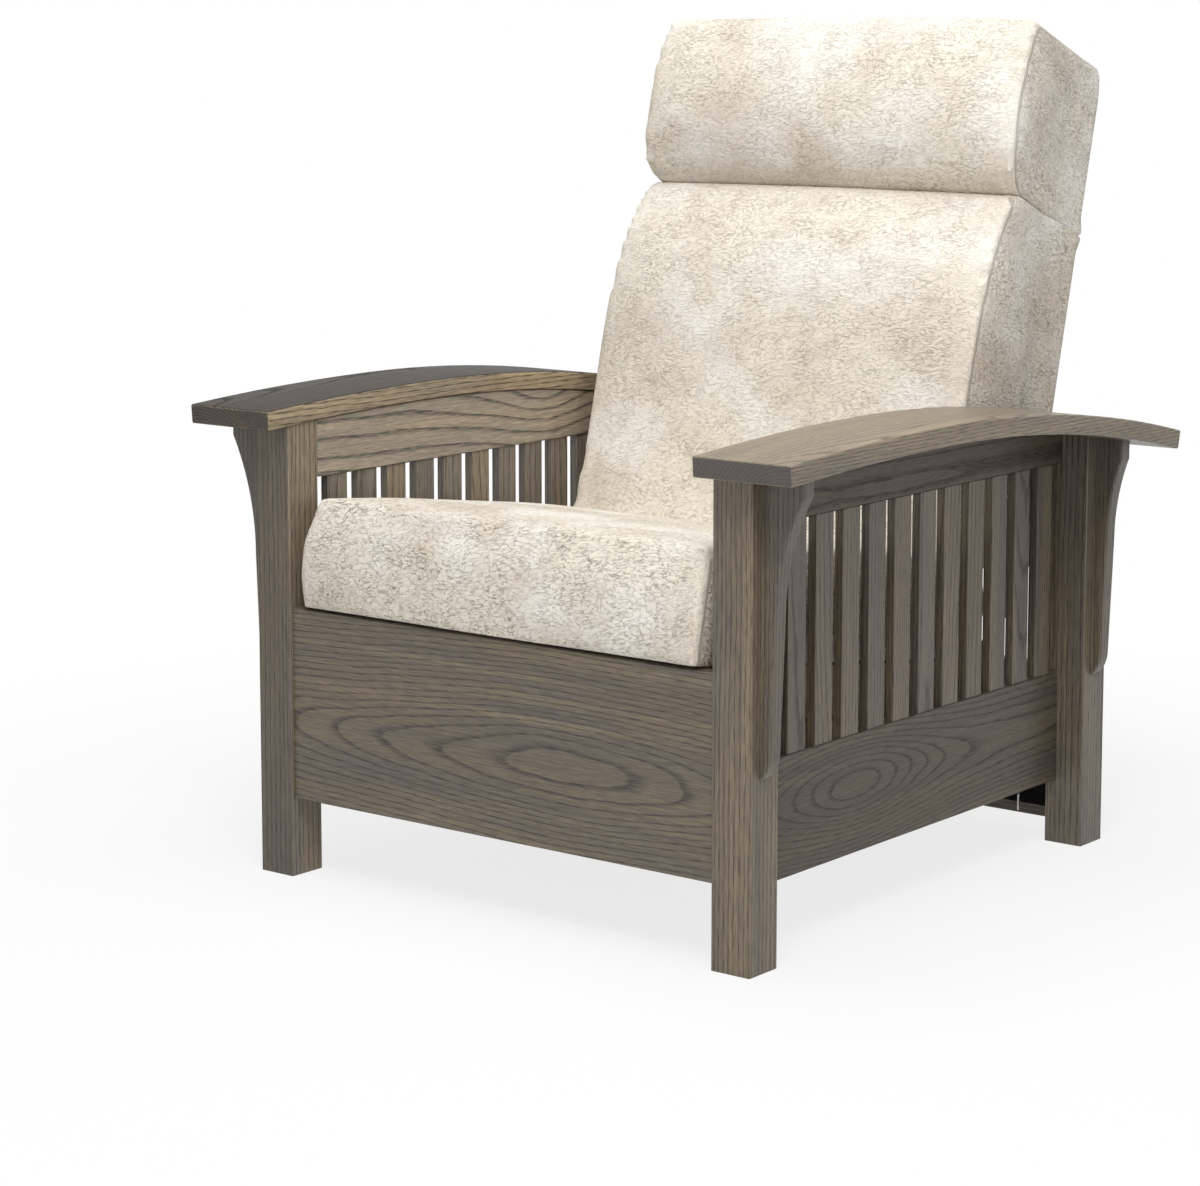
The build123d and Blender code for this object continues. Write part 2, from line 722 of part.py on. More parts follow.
# The room that the back frame takes behind the padding, and the seat's room under it
back_frame_depth = back_board_thick + stile_depth
with BuildPart() as back_frame_space:
    with BuildSketch(back_plane):
        with Locations((0, (back_frame_above - back_below_foot) / 2)):
            Rectangle(2 * back_frame_half_width, back_frame_above + back_below_foot)
    extrude(amount=back_frame_depth)
    for _, side in sides:
        with BuildSketch(Plane.YZ.offset(side * back_frame_half_width)):
            with Locations(*arm_screw_places):
                Circle(screw_head_radius + soft_gap)
        extrude(amount=side * arm_plate_gap)

with BuildPart() as seat_space:
    with BuildSketch(crown_side):
        with BuildLine():
            seat_crown_outline(soft_gap)
        make_face()
    extrude(amount=2 * seat_cushion_half_width)

back_foam_low = padded_section(-back_below_foot, 0, back_half_width, back_depth_bottom)
back_foam_mid = padded_section(
    (back_crease_height - back_below_foot) / 2,
    back_crease_tilt / 2,
    back_half_width,
    back_depth_middle,
)
back_foam_shoulder = padded_section(
    back_crease_height - back_shoulder_drop,
    back_shoulder_tilt,
    back_half_width,
    back_depth_shoulder,
)
back_foam_top = padded_section(
    back_crease_height - back_crease_round, back_crease_tilt, back_half_width, back_depth_crease
)
crease = padded_section(
    back_crease_height, back_crease_tilt, back_half_width - back_crease_inset, back_crease_depth
)
with BuildPart() as back_cushion:
    loft(sections=[back_foam_low, back_foam_mid, back_foam_shoulder, back_foam_top])
    loft(sections=[back_foam_top, crease])
    add(back_frame_space.part, mode=Mode.SUBTRACT)
    add(seat_space.part, mode=Mode.SUBTRACT)
back_cushion.part.label = "back_cushion"
export_step(back_cushion.part, "parts/back_cushion.step")

headrest_low_up = back_crease_height + headrest_low_round
headrest_top_up = back_crease_height + headrest_height
headrest_low = padded_section(
    headrest_low_up, back_crease_tilt, back_half_width, headrest_depth_low
)
headrest_mid = padded_section(
    (headrest_low_up + headrest_top_up) / 2,
    back_crease_tilt,
    back_half_width,
    headrest_depth_middle,
)
headrest_shoulder = padded_section(
    headrest_top_up - headrest_top_round, back_crease_tilt, back_half_width, headrest_depth_top
)
headrest_top = padded_section(
    headrest_top_up,
    back_crease_tilt,
    back_half_width - headrest_top_inset,
    headrest_depth_top - headrest_top_inset,
)
with BuildPart() as headrest:
    loft(sections=[crease, headrest_low])
    loft(sections=[headrest_low, headrest_mid, headrest_shoulder])
    loft(sections=[headrest_shoulder, headrest_top])
    add(back_frame_space.part, mode=Mode.SUBTRACT)
headrest.part.label = "headrest"
export_step(headrest.part, "parts/headrest.step")

# Back frame behind the padding: two stiles, two rails and the outside board
back_frame_length = back_frame_above + back_frame_below
back_frame_mid = (back_frame_above - back_frame_below) / 2
stile_mid_x = back_frame_half_width - stile_thick / 2
with BuildPart() as back_stiles:
    with BuildSketch(back_plane.offset(back_board_thick)):
        with Locations((-stile_mid_x, back_frame_mid), (stile_mid_x, back_frame_mid)):
            Rectangle(stile_thick, back_frame_length)
    extrude(amount=stile_depth)
    for _, side in sides:
        with BuildSketch(Plane.YZ.offset(side * back_frame_half_width)):
            with Locations(*arm_screw_places):
                Circle(screw_radius + running_gap)
        extrude(amount=-side * (screw_length + fit), mode=Mode.SUBTRACT)
back_stiles.part.label = "back_stiles"
export_step(back_stiles.part, "parts/back_stiles.step")

back_rail_ups = (stile_thick / 2 - back_frame_below, back_frame_above - stile_thick / 2)
with BuildPart() as back_rails:
    with BuildSketch(back_plane.offset(back_board_thick)):
        for up in back_rail_ups:
            with Locations((0, up)):
                Rectangle(2 * (back_frame_half_width - stile_thick), stile_thick)
    extrude(amount=stile_depth)
back_rails.part.label = "back_rails"
export_step(back_rails.part, "parts/back_rails.step")

with BuildPart() as outside_back:
    with BuildSketch(back_plane):
        with Locations((0, back_frame_mid)):
            Rectangle(2 * back_frame_half_width, back_frame_length)
    extrude(amount=back_board_thick)
outside_back.part.label = "outside_back"
export_step(outside_back.part, "parts/outside_back.step")

# Reclining gear
def outline(*lobes):
    """A plate's outline: the hull around discs given as (centre, radius)."""
    with BuildSketch(mode=Mode.PRIVATE) as hull:
        for centre, radius in lobes:
            with Locations(centre):
                Circle(radius)
        make_hull()
    return hull.sketch_local


# Plates on the rear legs that carry the pivots
with BuildPart() as pivot_plates:
    for _, side in sides:
        with BuildSketch(Plane.YZ.offset(side * pivot_plate_in_x)):
            add(
                outline(
                    (pivot, plate_lobe_radius),
                    (plate_screw_places[0], plate_corner_radius),
                    (plate_screw_places[-1], plate_corner_radius),
                )
            )
            with Locations(pivot):
                Circle(pivot_pin_radius + running_gap, mode=Mode.SUBTRACT)
            with Locations(*plate_screw_places):
                Circle(screw_radius + running_gap, mode=Mode.SUBTRACT)
        extrude(amount=side * plate_thick)
pivot_plates.part.label = "pivot_plates"
export_step(pivot_plates.part, "parts/pivot_plates.step")

# Hinge arms: a gusset on the back's stile, a crank below the pivot, and a welded link stud
with BuildPart() as hinge_arms:
    for _, side in sides:
        with BuildSketch(Plane.YZ.offset(side * arm_plate_in_x)):
            add(
                outline(
                    (pivot, plate_lobe_radius),
                    (arm_screw_places[0], arm_lobe_radius),
                    (arm_screw_places[1], arm_lobe_radius),
                )
            )
            add(outline((pivot, plate_lobe_radius), (link, arm_lobe_radius)))
            with Locations(pivot):
                Circle(pivot_pin_radius + running_gap, mode=Mode.SUBTRACT)
            with Locations(*arm_screw_places):
                Circle(screw_radius + running_gap, mode=Mode.SUBTRACT)
        extrude(amount=side * arm_plate_thick)
        with BuildSketch(Plane.YZ.offset(side * arm_plate_in_x)):
            with Locations(link):
                Circle(stud_radius)
        extrude(amount=-side * stud_length)
        with BuildSketch(Plane.YZ.offset(side * arm_plate_in_x)):
            with Locations(*arm_screw_places):
                Circle(screw_head_radius)
                Circle(screw_radius + running_gap, mode=Mode.SUBTRACT)
        extrude(amount=-side * arm_plate_gap)
hinge_arms.part.label = "hinge_arms"
export_step(hinge_arms.part, "parts/hinge_arms.step")

# Brackets on the seat frame, with the slots that the link studs work in
slot_mid = on_seat(link_along, link_above - link_dip / 2)
with BuildPart() as link_brackets:
    for _, side in sides:
        with BuildSketch(Plane.YZ.offset(side * seat_frame_half_width)):
            add(
                outline(
                    (bracket_places[0], bracket_lobe_radius),
                    (bracket_places[1], bracket_lobe_radius),
                )
            )
            add(outline((bracket_places[1], bracket_lobe_radius), (link, bracket_lobe_radius)))
            with Locations(*bracket_places):
                Circle(screw_radius + running_gap, mode=Mode.SUBTRACT)
            with Locations(Location((*slot_mid, 0), -seat_slope)):
                SlotCenterToCenter(
                    link_dip + 2 * slot_spare,
                    2 * (stud_radius + slot_spare),
                    rotation=90,
                    mode=Mode.SUBTRACT,
                )
        extrude(amount=side * bracket_thick)
link_brackets.part.label = "link_brackets"
export_step(link_brackets.part, "parts/link_brackets.step")

# Pivot pins: fast in the plates, with a flat head on the inner side of each hinge arm
with BuildPart() as pivot_pins:
    for _, side in sides:
        with BuildSketch(Plane.YZ.offset(side * leg_in_x)):
            with Locations(pivot):
                Circle(pivot_pin_radius)
        extrude(amount=-side * (leg_in_x - arm_plate_in_x + side_gap))
        with BuildSketch(Plane.YZ.offset(side * (arm_plate_in_x - side_gap))):
            with Locations(pivot):
                Circle(pivot_head_radius)
        extrude(amount=-side * pivot_head_thick)
pivot_pins.part.label = "pivot_pins"
export_step(pivot_pins.part, "parts/pivot_pins.step")

with BuildPart() as pivot_bushes:
    for _, side in sides:
        with BuildSketch(Plane.YZ.offset(side * pivot_plate_in_x)):
            with Locations(pivot):
                Circle(bush_radius)
                Circle(pivot_pin_radius + running_gap, mode=Mode.SUBTRACT)
        extrude(amount=-side * (pivot_plate_in_x - arm_plate_out_x - side_gap))
pivot_bushes.part.label = "pivot_bushes"
export_step(pivot_bushes.part, "parts/pivot_bushes.step")


def write_screws(label, head_in_x, point_in_x, places):
    """Write a group of screws along X, one set on each side of the chair."""
    with BuildPart() as group:
        for _, side in sides:
            into = side if point_in_x > head_in_x else -side
            with BuildSketch(Plane.YZ.offset(side * head_in_x)):
                with Locations(*places):
                    Circle(screw_head_radius)
            extrude(amount=-into * screw_head_thick)
            with BuildSketch(Plane.YZ.offset(side * head_in_x)):
                with Locations(*places):
                    Circle(screw_radius)
            extrude(amount=into * abs(point_in_x - head_in_x))
    group.part.label = label
    export_step(group.part, f"parts/{label}.step")


write_screws(
    "hinge_arm_screws", arm_plate_out_x, back_frame_half_width - screw_length, arm_screw_places
)
write_screws(
    "pivot_plate_screws", pivot_plate_in_x, leg_in_x + screw_length, plate_screw_places
)
write_screws(
    "link_bracket_screws",
    seat_frame_half_width + bracket_thick,
    seat_frame_half_width - screw_length,
    bracket_places,
)

# Wire hooks let into the apron's inner face, reaching below it on each side
with BuildPart() as apron_hooks:
    for _, side in sides:
        hook_x = side * hook_mid_x
        with BuildLine(Plane.YZ.offset(hook_x)):
            Line((apron_front_y + hook_shank, hook_top_z), (hook_y + hook_bend, hook_top_z))
            ThreePointArc(
                (hook_y + hook_bend, hook_top_z),
                (hook_y + hook_sag, hook_top_z - hook_sag),
                (hook_y, hook_top_z - hook_bend),
            )
            Line((hook_y, hook_top_z - hook_bend), (hook_y, hook_low_z))
        with BuildSketch(Plane(origin=(hook_x, apron_front_y + hook_shank, hook_top_z), z_dir=(0, -1, 0))):
            Circle(hook_wire_radius)
        sweep()
apron_hooks.part.label = "apron_hooks"
export_step(apron_hooks.part, "parts/apron_hooks.step")
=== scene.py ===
"""Dresses the mission armchair: stained oak frame, crackled cream leather and the reclining gear."""

import logging
import math
import random
from dataclasses import dataclass, field
from enum import Enum

import bpy
import numpy as np
from mathutils import Matrix, Vector


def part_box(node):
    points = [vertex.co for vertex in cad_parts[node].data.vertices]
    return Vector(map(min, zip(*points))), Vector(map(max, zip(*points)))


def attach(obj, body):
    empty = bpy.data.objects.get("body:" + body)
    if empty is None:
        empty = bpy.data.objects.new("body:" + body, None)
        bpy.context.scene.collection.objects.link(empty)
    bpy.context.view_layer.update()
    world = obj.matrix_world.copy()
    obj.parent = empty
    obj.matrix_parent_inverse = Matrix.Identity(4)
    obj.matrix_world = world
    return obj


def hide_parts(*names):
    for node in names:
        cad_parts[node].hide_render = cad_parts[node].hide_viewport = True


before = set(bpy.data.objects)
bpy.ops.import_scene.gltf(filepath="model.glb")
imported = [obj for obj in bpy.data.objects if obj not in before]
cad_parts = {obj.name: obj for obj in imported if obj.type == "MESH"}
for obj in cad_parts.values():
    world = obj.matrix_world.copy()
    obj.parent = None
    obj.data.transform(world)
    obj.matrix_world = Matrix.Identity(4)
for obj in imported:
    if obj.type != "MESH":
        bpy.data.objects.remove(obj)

log = logging.getLogger("mission_chair")

# Metres, further than any place on the chair.
FAR = 9.0
Colour = tuple[float, float, float]
Triple = tuple[float, float, float]


def srgb(red: int, green: int, blue: int) -> Colour:
    """Turn a screen's colour, from 0 to 255, into the linear one that shaders take."""
    parts = (channel / 255.0 for channel in (red, green, blue))
    return tuple(p / 12.92 if p <= 0.04045 else ((p + 0.055) / 1.055) ** 2.4 for p in parts)


class Signal:
    """A number that a shader socket carries, so that maths on it reads as plain Python."""

    def __init__(self, bench: "Bench", socket: bpy.types.NodeSocket) -> None:
        """Keep the socket and the bench whose nodes it belongs to."""
        self.bench = bench
        self.socket = socket

    def maths(self, operation: str, first: object, second: object = 0.0) -> "Signal":
        """Add one Math node on two numbers or signals, and give what comes out of it."""
        made = self.bench.node("ShaderNodeMath", {"operation": operation}, {0: first, 1: second})
        return Signal(self.bench, made.outputs[0])

    def __add__(self, other: object) -> "Signal":
        """Add."""
        return self.maths("ADD", self, other)

    __radd__ = __add__

    def __sub__(self, other: object) -> "Signal":
        """Take the other away."""
        return self.maths("SUBTRACT", self, other)

    def __rsub__(self, other: object) -> "Signal":
        """Take this away from the other."""
        return self.maths("SUBTRACT", other, self)

    def __mul__(self, other: object) -> "Signal":
        """Multiply."""
        return self.maths("MULTIPLY", self, other)

    __rmul__ = __mul__

    def __truediv__(self, other: object) -> "Signal":
        """Divide."""
        return self.maths("DIVIDE", self, other)

    def __abs__(self) -> "Signal":
        """Drop the sign."""
        return self.maths("ABSOLUTE", self)

    def root(self) -> "Signal":
        """Take the square root."""
        return self.maths("SQRT", self)

    def part(self) -> "Signal":
        """Keep what is left after the whole number."""
        return self.maths("FRACT", self)

    def sine(self) -> "Signal":
        """Take the sine."""
        return self.maths("SINE", self)

    def larger(self, other: object) -> "Signal":
        """Keep the larger of the two."""
        return self.maths("MAXIMUM", self, other)

    def rise(self, low: float, high: float) -> "Signal":
        """Ease from 0 at the low value to 1 at the high one.

        Args:
            low: Where the rise starts.
            high: Where it ends.

        Returns:
            The eased number.
        """
        made = self.bench.node(
            "ShaderNodeMapRange",
            {"interpolation_type": "SMOOTHSTEP"},
            {"Value": self, "From Min": low, "From Max": high},
        )
        return Signal(self.bench, made.outputs[0])


class Bench:
    """The nodes of one material or of the world."""

    def __init__(self, owner: bpy.types.Material | bpy.types.World) -> None:
        """Clear the nodes of what they belong to."""
        owner.use_nodes = True
        self.tree = owner.node_tree
        self.tree.nodes.clear()

    def node(self, kind: str, settings: dict[str, object], inputs: dict) -> bpy.types.Node:
        """Add a node.

        Args:
            kind: The node's type.
            settings: Its own properties, set first.
            inputs: Socket names or places, with the values or links they get.

        Returns:
            The node.
        """
        made = self.tree.nodes.new(kind)
        for key, value in settings.items():
            setattr(made, key, value)
        for key, value in inputs.items():
            socket = made.inputs[key]
            if isinstance(value, Signal):
                value = value.socket
            if isinstance(value, bpy.types.NodeSocket):
                self.tree.links.new(value, socket)
            elif isinstance(value, tuple) and len(value) == 3 and socket.type == "RGBA":
                socket.default_value = (*value, 1.0)
            else:
                socket.default_value = value
        return made

    def place(self) -> bpy.types.NodeSocket:
        """Give the place on the piece, in metres."""
        return self.node("ShaderNodeTexCoord", {}, {}).outputs["Object"]

    def facing(self) -> bpy.types.NodeSocket:
        """Give the way the surface faces on the piece."""
        return self.node("ShaderNodeTexCoord", {}, {}).outputs["Normal"]

    def split(self, vector: bpy.types.NodeSocket) -> list[Signal]:
        """Take a vector apart into its three numbers."""
        made = self.node("ShaderNodeSeparateXYZ", {}, {0: vector})
        return [Signal(self, socket) for socket in made.outputs]

    def join(self, across: Signal, over: Signal, along: Signal) -> bpy.types.NodeSocket:
        """Make a vector of three numbers."""
        return self.node("ShaderNodeCombineXYZ", {}, {0: across, 1: over, 2: along}).outputs[0]

    def moved(self, vector: bpy.types.NodeSocket, scale: Triple, shift: Triple) -> bpy.types.NodeSocket:
        """Make a pattern finer by the scale on each axis, and then shift it."""
        inputs = {"Vector": vector, "Scale": scale, "Location": shift}
        return self.node("ShaderNodeMapping", {}, inputs).outputs[0]

    def seeded(self, vector: bpy.types.NodeSocket, scale: Triple, seed: float) -> bpy.types.NodeSocket:
        """Make a pattern finer, and take it from the part of the endless one that the seed picks."""
        return self.moved(vector, scale, (seed, seed * 0.37, -seed * 0.71))

    def turned(self, vector: bpy.types.NodeSocket, turn: Triple) -> bpy.types.NodeSocket:
        """Turn a pattern's place by these angles in radians."""
        return self.node("ShaderNodeMapping", {}, {"Vector": vector, "Rotation": turn}).outputs[0]

    def blend(self, share: Signal, first: object, second: object) -> bpy.types.NodeSocket:
        """Blend two vectors."""
        inputs = {0: share, 4: first, 5: second}
        return self.node("ShaderNodeMix", {"data_type": "VECTOR"}, inputs).outputs[1]

    def noise(
        self,
        vector: bpy.types.NodeSocket,
        scale: Triple,
        seed: float,
        detail: float = 2.0,
        rough: float = 0.5,
    ) -> bpy.types.Node:
        """Add a cloudy pattern.

        Args:
            vector: The place.
            scale: Its fineness on each axis, per metre.
            seed: Which part of the endless pattern is used.
            detail: How many finer layers it has.
            rough: How strong those are.

        Returns:
            The noise node.
        """
        where = self.seeded(vector, scale, seed)
        inputs = {"Vector": where, "Scale": 1.0, "Detail": detail, "Roughness": rough}
        return self.node("ShaderNodeTexNoise", {}, inputs)

    def cells(self, vector: bpy.types.NodeSocket, scale: Triple, seed: float) -> Signal:
        """Give the distance from the nearest of many strewn points, for a pebbled pattern."""
        inputs = {"Vector": self.seeded(vector, scale, seed), "Scale": 1.0}
        return Signal(self, self.node("ShaderNodeTexVoronoi", {}, inputs).outputs["Distance"])

    def cloud(self, vector: bpy.types.NodeSocket, scale: Triple, seed: float, **more: float) -> Signal:
        """Give a cloudy pattern as a number about one half."""
        return Signal(self, self.noise(vector, scale, seed, **more).outputs["Fac"])

    def warp(
        self, vector: bpy.types.NodeSocket, scale: Triple, seed: float, reach: Triple
    ) -> bpy.types.NodeSocket:
        """Push a pattern's place about by a cloudy pattern.

        Args:
            vector: The place.
            scale: The fineness of the push, per metre.
            seed: Which part of the endless pattern is used.
            reach: The strength of the push on each axis, in metres.

        Returns:
            The pushed place.
        """
        push = self.noise(vector, scale, seed).outputs["Color"]
        halves = {0: push, 1: (0.5, 0.5, 0.5)}
        centred = self.node("ShaderNodeVectorMath", {"operation": "SUBTRACT"}, halves)
        added = {0: centred.outputs[0], 1: reach, 2: vector}
        return self.node("ShaderNodeVectorMath", {"operation": "MULTIPLY_ADD"}, added).outputs[0]

    def mix(self, share: object, first: object, second: object, how: str = "MIX") -> bpy.types.NodeSocket:
        """Blend two colours, with as much of the second as the share says."""
        settings = {"data_type": "RGBA", "blend_type": how}
        return self.node("ShaderNodeMix", settings, {0: share, 6: first, 7: second}).outputs[2]

    def painted(self, name: str) -> Signal:
        """Give a number that the piece's points carry."""
        carried = self.node("ShaderNodeAttribute", {"attribute_name": name}, {})
        return Signal(self, carried.outputs["Fac"])

    def bump(self, height: Signal, distance: float, strength: float = 1.0) -> bpy.types.NodeSocket:
        """Turn a height pattern into a bumpy surface."""
        inputs = {"Height": height, "Distance": distance, "Strength": strength}
        return self.node("ShaderNodeBump", {}, inputs).outputs[0]

    def sees_background(self) -> Signal:
        """Give 1 to what the camera sees itself, in a reflection or through a clear piece."""
        rays = self.node("ShaderNodeLightPath", {}, {}).outputs
        names = ("Is Camera Ray", "Is Glossy Ray", "Is Transmission Ray")
        straight, mirrored, passed = (Signal(self, rays[name]) for name in names)
        return straight.larger(mirrored).larger(passed)


class Surface(Bench):
    """The nodes of one material, with the shader that they end in."""

    def __init__(self, name: str, constants: dict[str, object]) -> None:
        """Start a material whose shader has these constants.

        Args:
            name: The material's name.
            constants: Values set on the shader's own sockets.
        """
        self.material = bpy.data.materials.new(name)
        super().__init__(self.material)
        self.shader = self.node("ShaderNodeBsdfPrincipled", {}, constants)
        end = {"Surface": self.shader.outputs["BSDF"]}
        self.output = self.node("ShaderNodeOutputMaterial", {}, end)

    def end(self, **links: object) -> bpy.types.Material:
        """Link what changes over the surface to the shader.

        Args:
            links: Socket names, with _ for a space, and what they get.

        Returns:
            The finished material.
        """
        for key, value in links.items():
            socket = value.socket if isinstance(value, Signal) else value
            self.tree.links.new(socket, self.shader.inputs[key.replace("_", " ")])
        return self.material


class Grain(Enum):
    """The way a board's fibres run, as the order of its across, over and along axes."""

    UPRIGHT = (0, 1, 2)
    ALONG_WIDTH = (1, 2, 0)
    ALONG_DEPTH = (0, 2, 1)


@dataclass(frozen=True)
class Board:
    """How one board was sawn from its log and how it took the stain, with painted light and shade in its
    colour and on its over faces. Lengths in metres.
    """

    grain: Grain
    pith: tuple[float, float]
    ring: float = 0.0042
    lean: tuple[float, float] = (0.0, 0.0)
    bulge: float = 0.0
    bulge_at: float = 0.0
    bulge_span: float = 0.1
    wander: float = 0.004
    # Partly random from board to board, partly painted light and shade: lighter on sides turned to the
    # light, darker under the arms.
    tone: float = 1.0
    # Painted light and shade on the faces that look along the over axis: below 1 painted darker, above 1
    # lighter.
    over_face_painted_light: float = 1.0
    cool: float = 0.5
    tan: float = 0.35
    dark: float = 0.84
    gloss: float = 1.0
    seed: float = 0.0


@dataclass(frozen=True)
class StainedOak:
    """Ring-porous oak under a grey-brown stain and satin lacquer.

    Lengths are in metres. A fineness is that of a cloudy pattern, per metre on each axis.
    """

    brown: Colour = srgb(117, 104, 85)
    cool_grey: Colour = srgb(96, 91, 84)
    tan: Colour = srgb(141, 126, 100)
    early_wood: Colour = srgb(38, 36, 35)
    end_grain: Colour = srgb(57, 58, 62)
    pore_width: float = 0.0014
    pore_length: float = 0.020
    ripple: float = 0.0022
    bend_fineness: Triple = (8.0, 8.0, 2.6)
    ripple_fineness: Triple = (70.0, 70.0, 14.0)
    year_fineness: Triple = (28.0, 0.0, 0.0)
    fibre_fineness: Triple = (420.0, 420.0, 6.0)
    stain_fineness: Triple = (24.0, 24.0, 2.6)
    streak_fineness: Triple = (55.0, 55.0, 2.0)

    def rings(self, bench: Bench, board: Board, trunk: bpy.types.NodeSocket, along: Signal) -> Signal:
        """Draw the year rings where the board's faces cut them.

        Args:
            bench: The material's nodes.
            board: How the board was sawn.
            trunk: The place in the board, fibres along the third axis.
            along: The place along the fibres.

        Returns:
            The dark early wood, from 0 to 1.
        """
        sway = (board.wander * 2.0, board.wander * 2.0, 0.0)
        bent = bench.warp(trunk, self.bend_fineness, board.seed + 3, sway)
        ripple = (self.ripple, self.ripple, 0.0)
        bent = bench.warp(bent, self.ripple_fineness, board.seed + 5, ripple)
        bent_across, bent_over, _ = bench.split(bent)
        run = along - board.bulge_at
        swell = board.bulge * (run * run / (run * run + board.bulge_span**2))
        hand = math.copysign(1.0, board.pith[0])
        reach_across = bent_across - hand * swell - along * board.lean[0] - board.pith[0]
        reach_over = bent_over - along * board.lean[1] - board.pith[1]
        radius = (reach_across * reach_across + reach_over * reach_over).root()
        years = bench.join(radius, radius, radius)
        uneven = bench.cloud(years, self.year_fineness, board.seed + 7, detail=1.0)
        year = (radius / board.ring + uneven * 1.6).part()
        return (1.0 - year.rise(0.08, 0.40)) * year.rise(0.0, 0.06)

    def dress(self, name: str, board: Board, centre: Triple) -> bpy.types.Material:
        """Make the finish of one board.

        Args:
            name: The board's name.
            board: How it was sawn.
            centre: Its middle, in metres.

        Returns:
            The material.
        """
        constants = {
            "Coat Roughness": 0.3,
            "Coat Weight": 0.25 * board.gloss,
            "Specular IOR Level": 0.45 * board.gloss,
        }
        bench = Surface(f"stained_oak_{name}", constants)
        shift = tuple(-middle for middle in centre)
        axes = bench.split(bench.moved(bench.place(), (1.0, 1.0, 1.0), shift))
        across, over, along = (axes[k] for k in board.grain.value)
        trunk = bench.join(across, over, along)
        early = self.rings(bench, board, trunk, along)
        pore_fineness = (1.0 / self.pore_width, 1.0 / self.pore_width, 1.0 / self.pore_length)
        pores = bench.cloud(trunk, pore_fineness, board.seed + 11, detail=1.5).rise(0.40, 0.62)
        fibre = bench.cloud(trunk, self.fibre_fineness, board.seed + 13, detail=3.0)
        stain = bench.cloud(trunk, self.stain_fineness, board.seed + 17, detail=3.0)
        streak = bench.cloud(trunk, self.streak_fineness, board.seed + 19, detail=1.0)
        cool = (stain + (board.cool - 0.5)).rise(0.34, 0.68)
        wood = bench.mix(cool * 0.75, self.brown, self.cool_grey)
        tan = (streak + (board.tan - 0.35)).rise(0.50, 0.74)
        wood = bench.mix(tan * 0.5, wood, self.tan)
        lines = early * (pores * 0.45 + 0.55)
        wood = bench.mix(lines * board.dark, wood, self.early_wood)
        wood = bench.mix(pores * 0.32, wood, self.early_wood)
        facing = bench.split(bench.facing())
        over_face, end_face = (abs(facing[board.grain.value[k]]) for k in (1, 2))
        # Painted light and shade on the faces that look along the over axis.
        painted_face_light = over_face.rise(0.5, 0.8) * (board.over_face_painted_light - 1.0) + 1.0
        # Fibre variation times the board's factor, which holds random variation and painted light and
        # shade.
        shade = (fibre * 0.9 + 0.55) * board.tone * painted_face_light
        wood = bench.mix(1.0, wood, bench.join(shade, shade, shade), "MULTIPLY")
        wood = bench.mix(end_face.rise(0.8, 0.98) * 0.75, wood, self.end_grain)
        height = fibre * 0.25 - lines * 0.6 - pores * 0.35
        return bench.end(
            Base_Color=wood,
            Roughness=lines * 0.14 + fibre * 0.12 + 0.38,
            Normal=bench.bump(height, 0.0005, 0.7),
        )


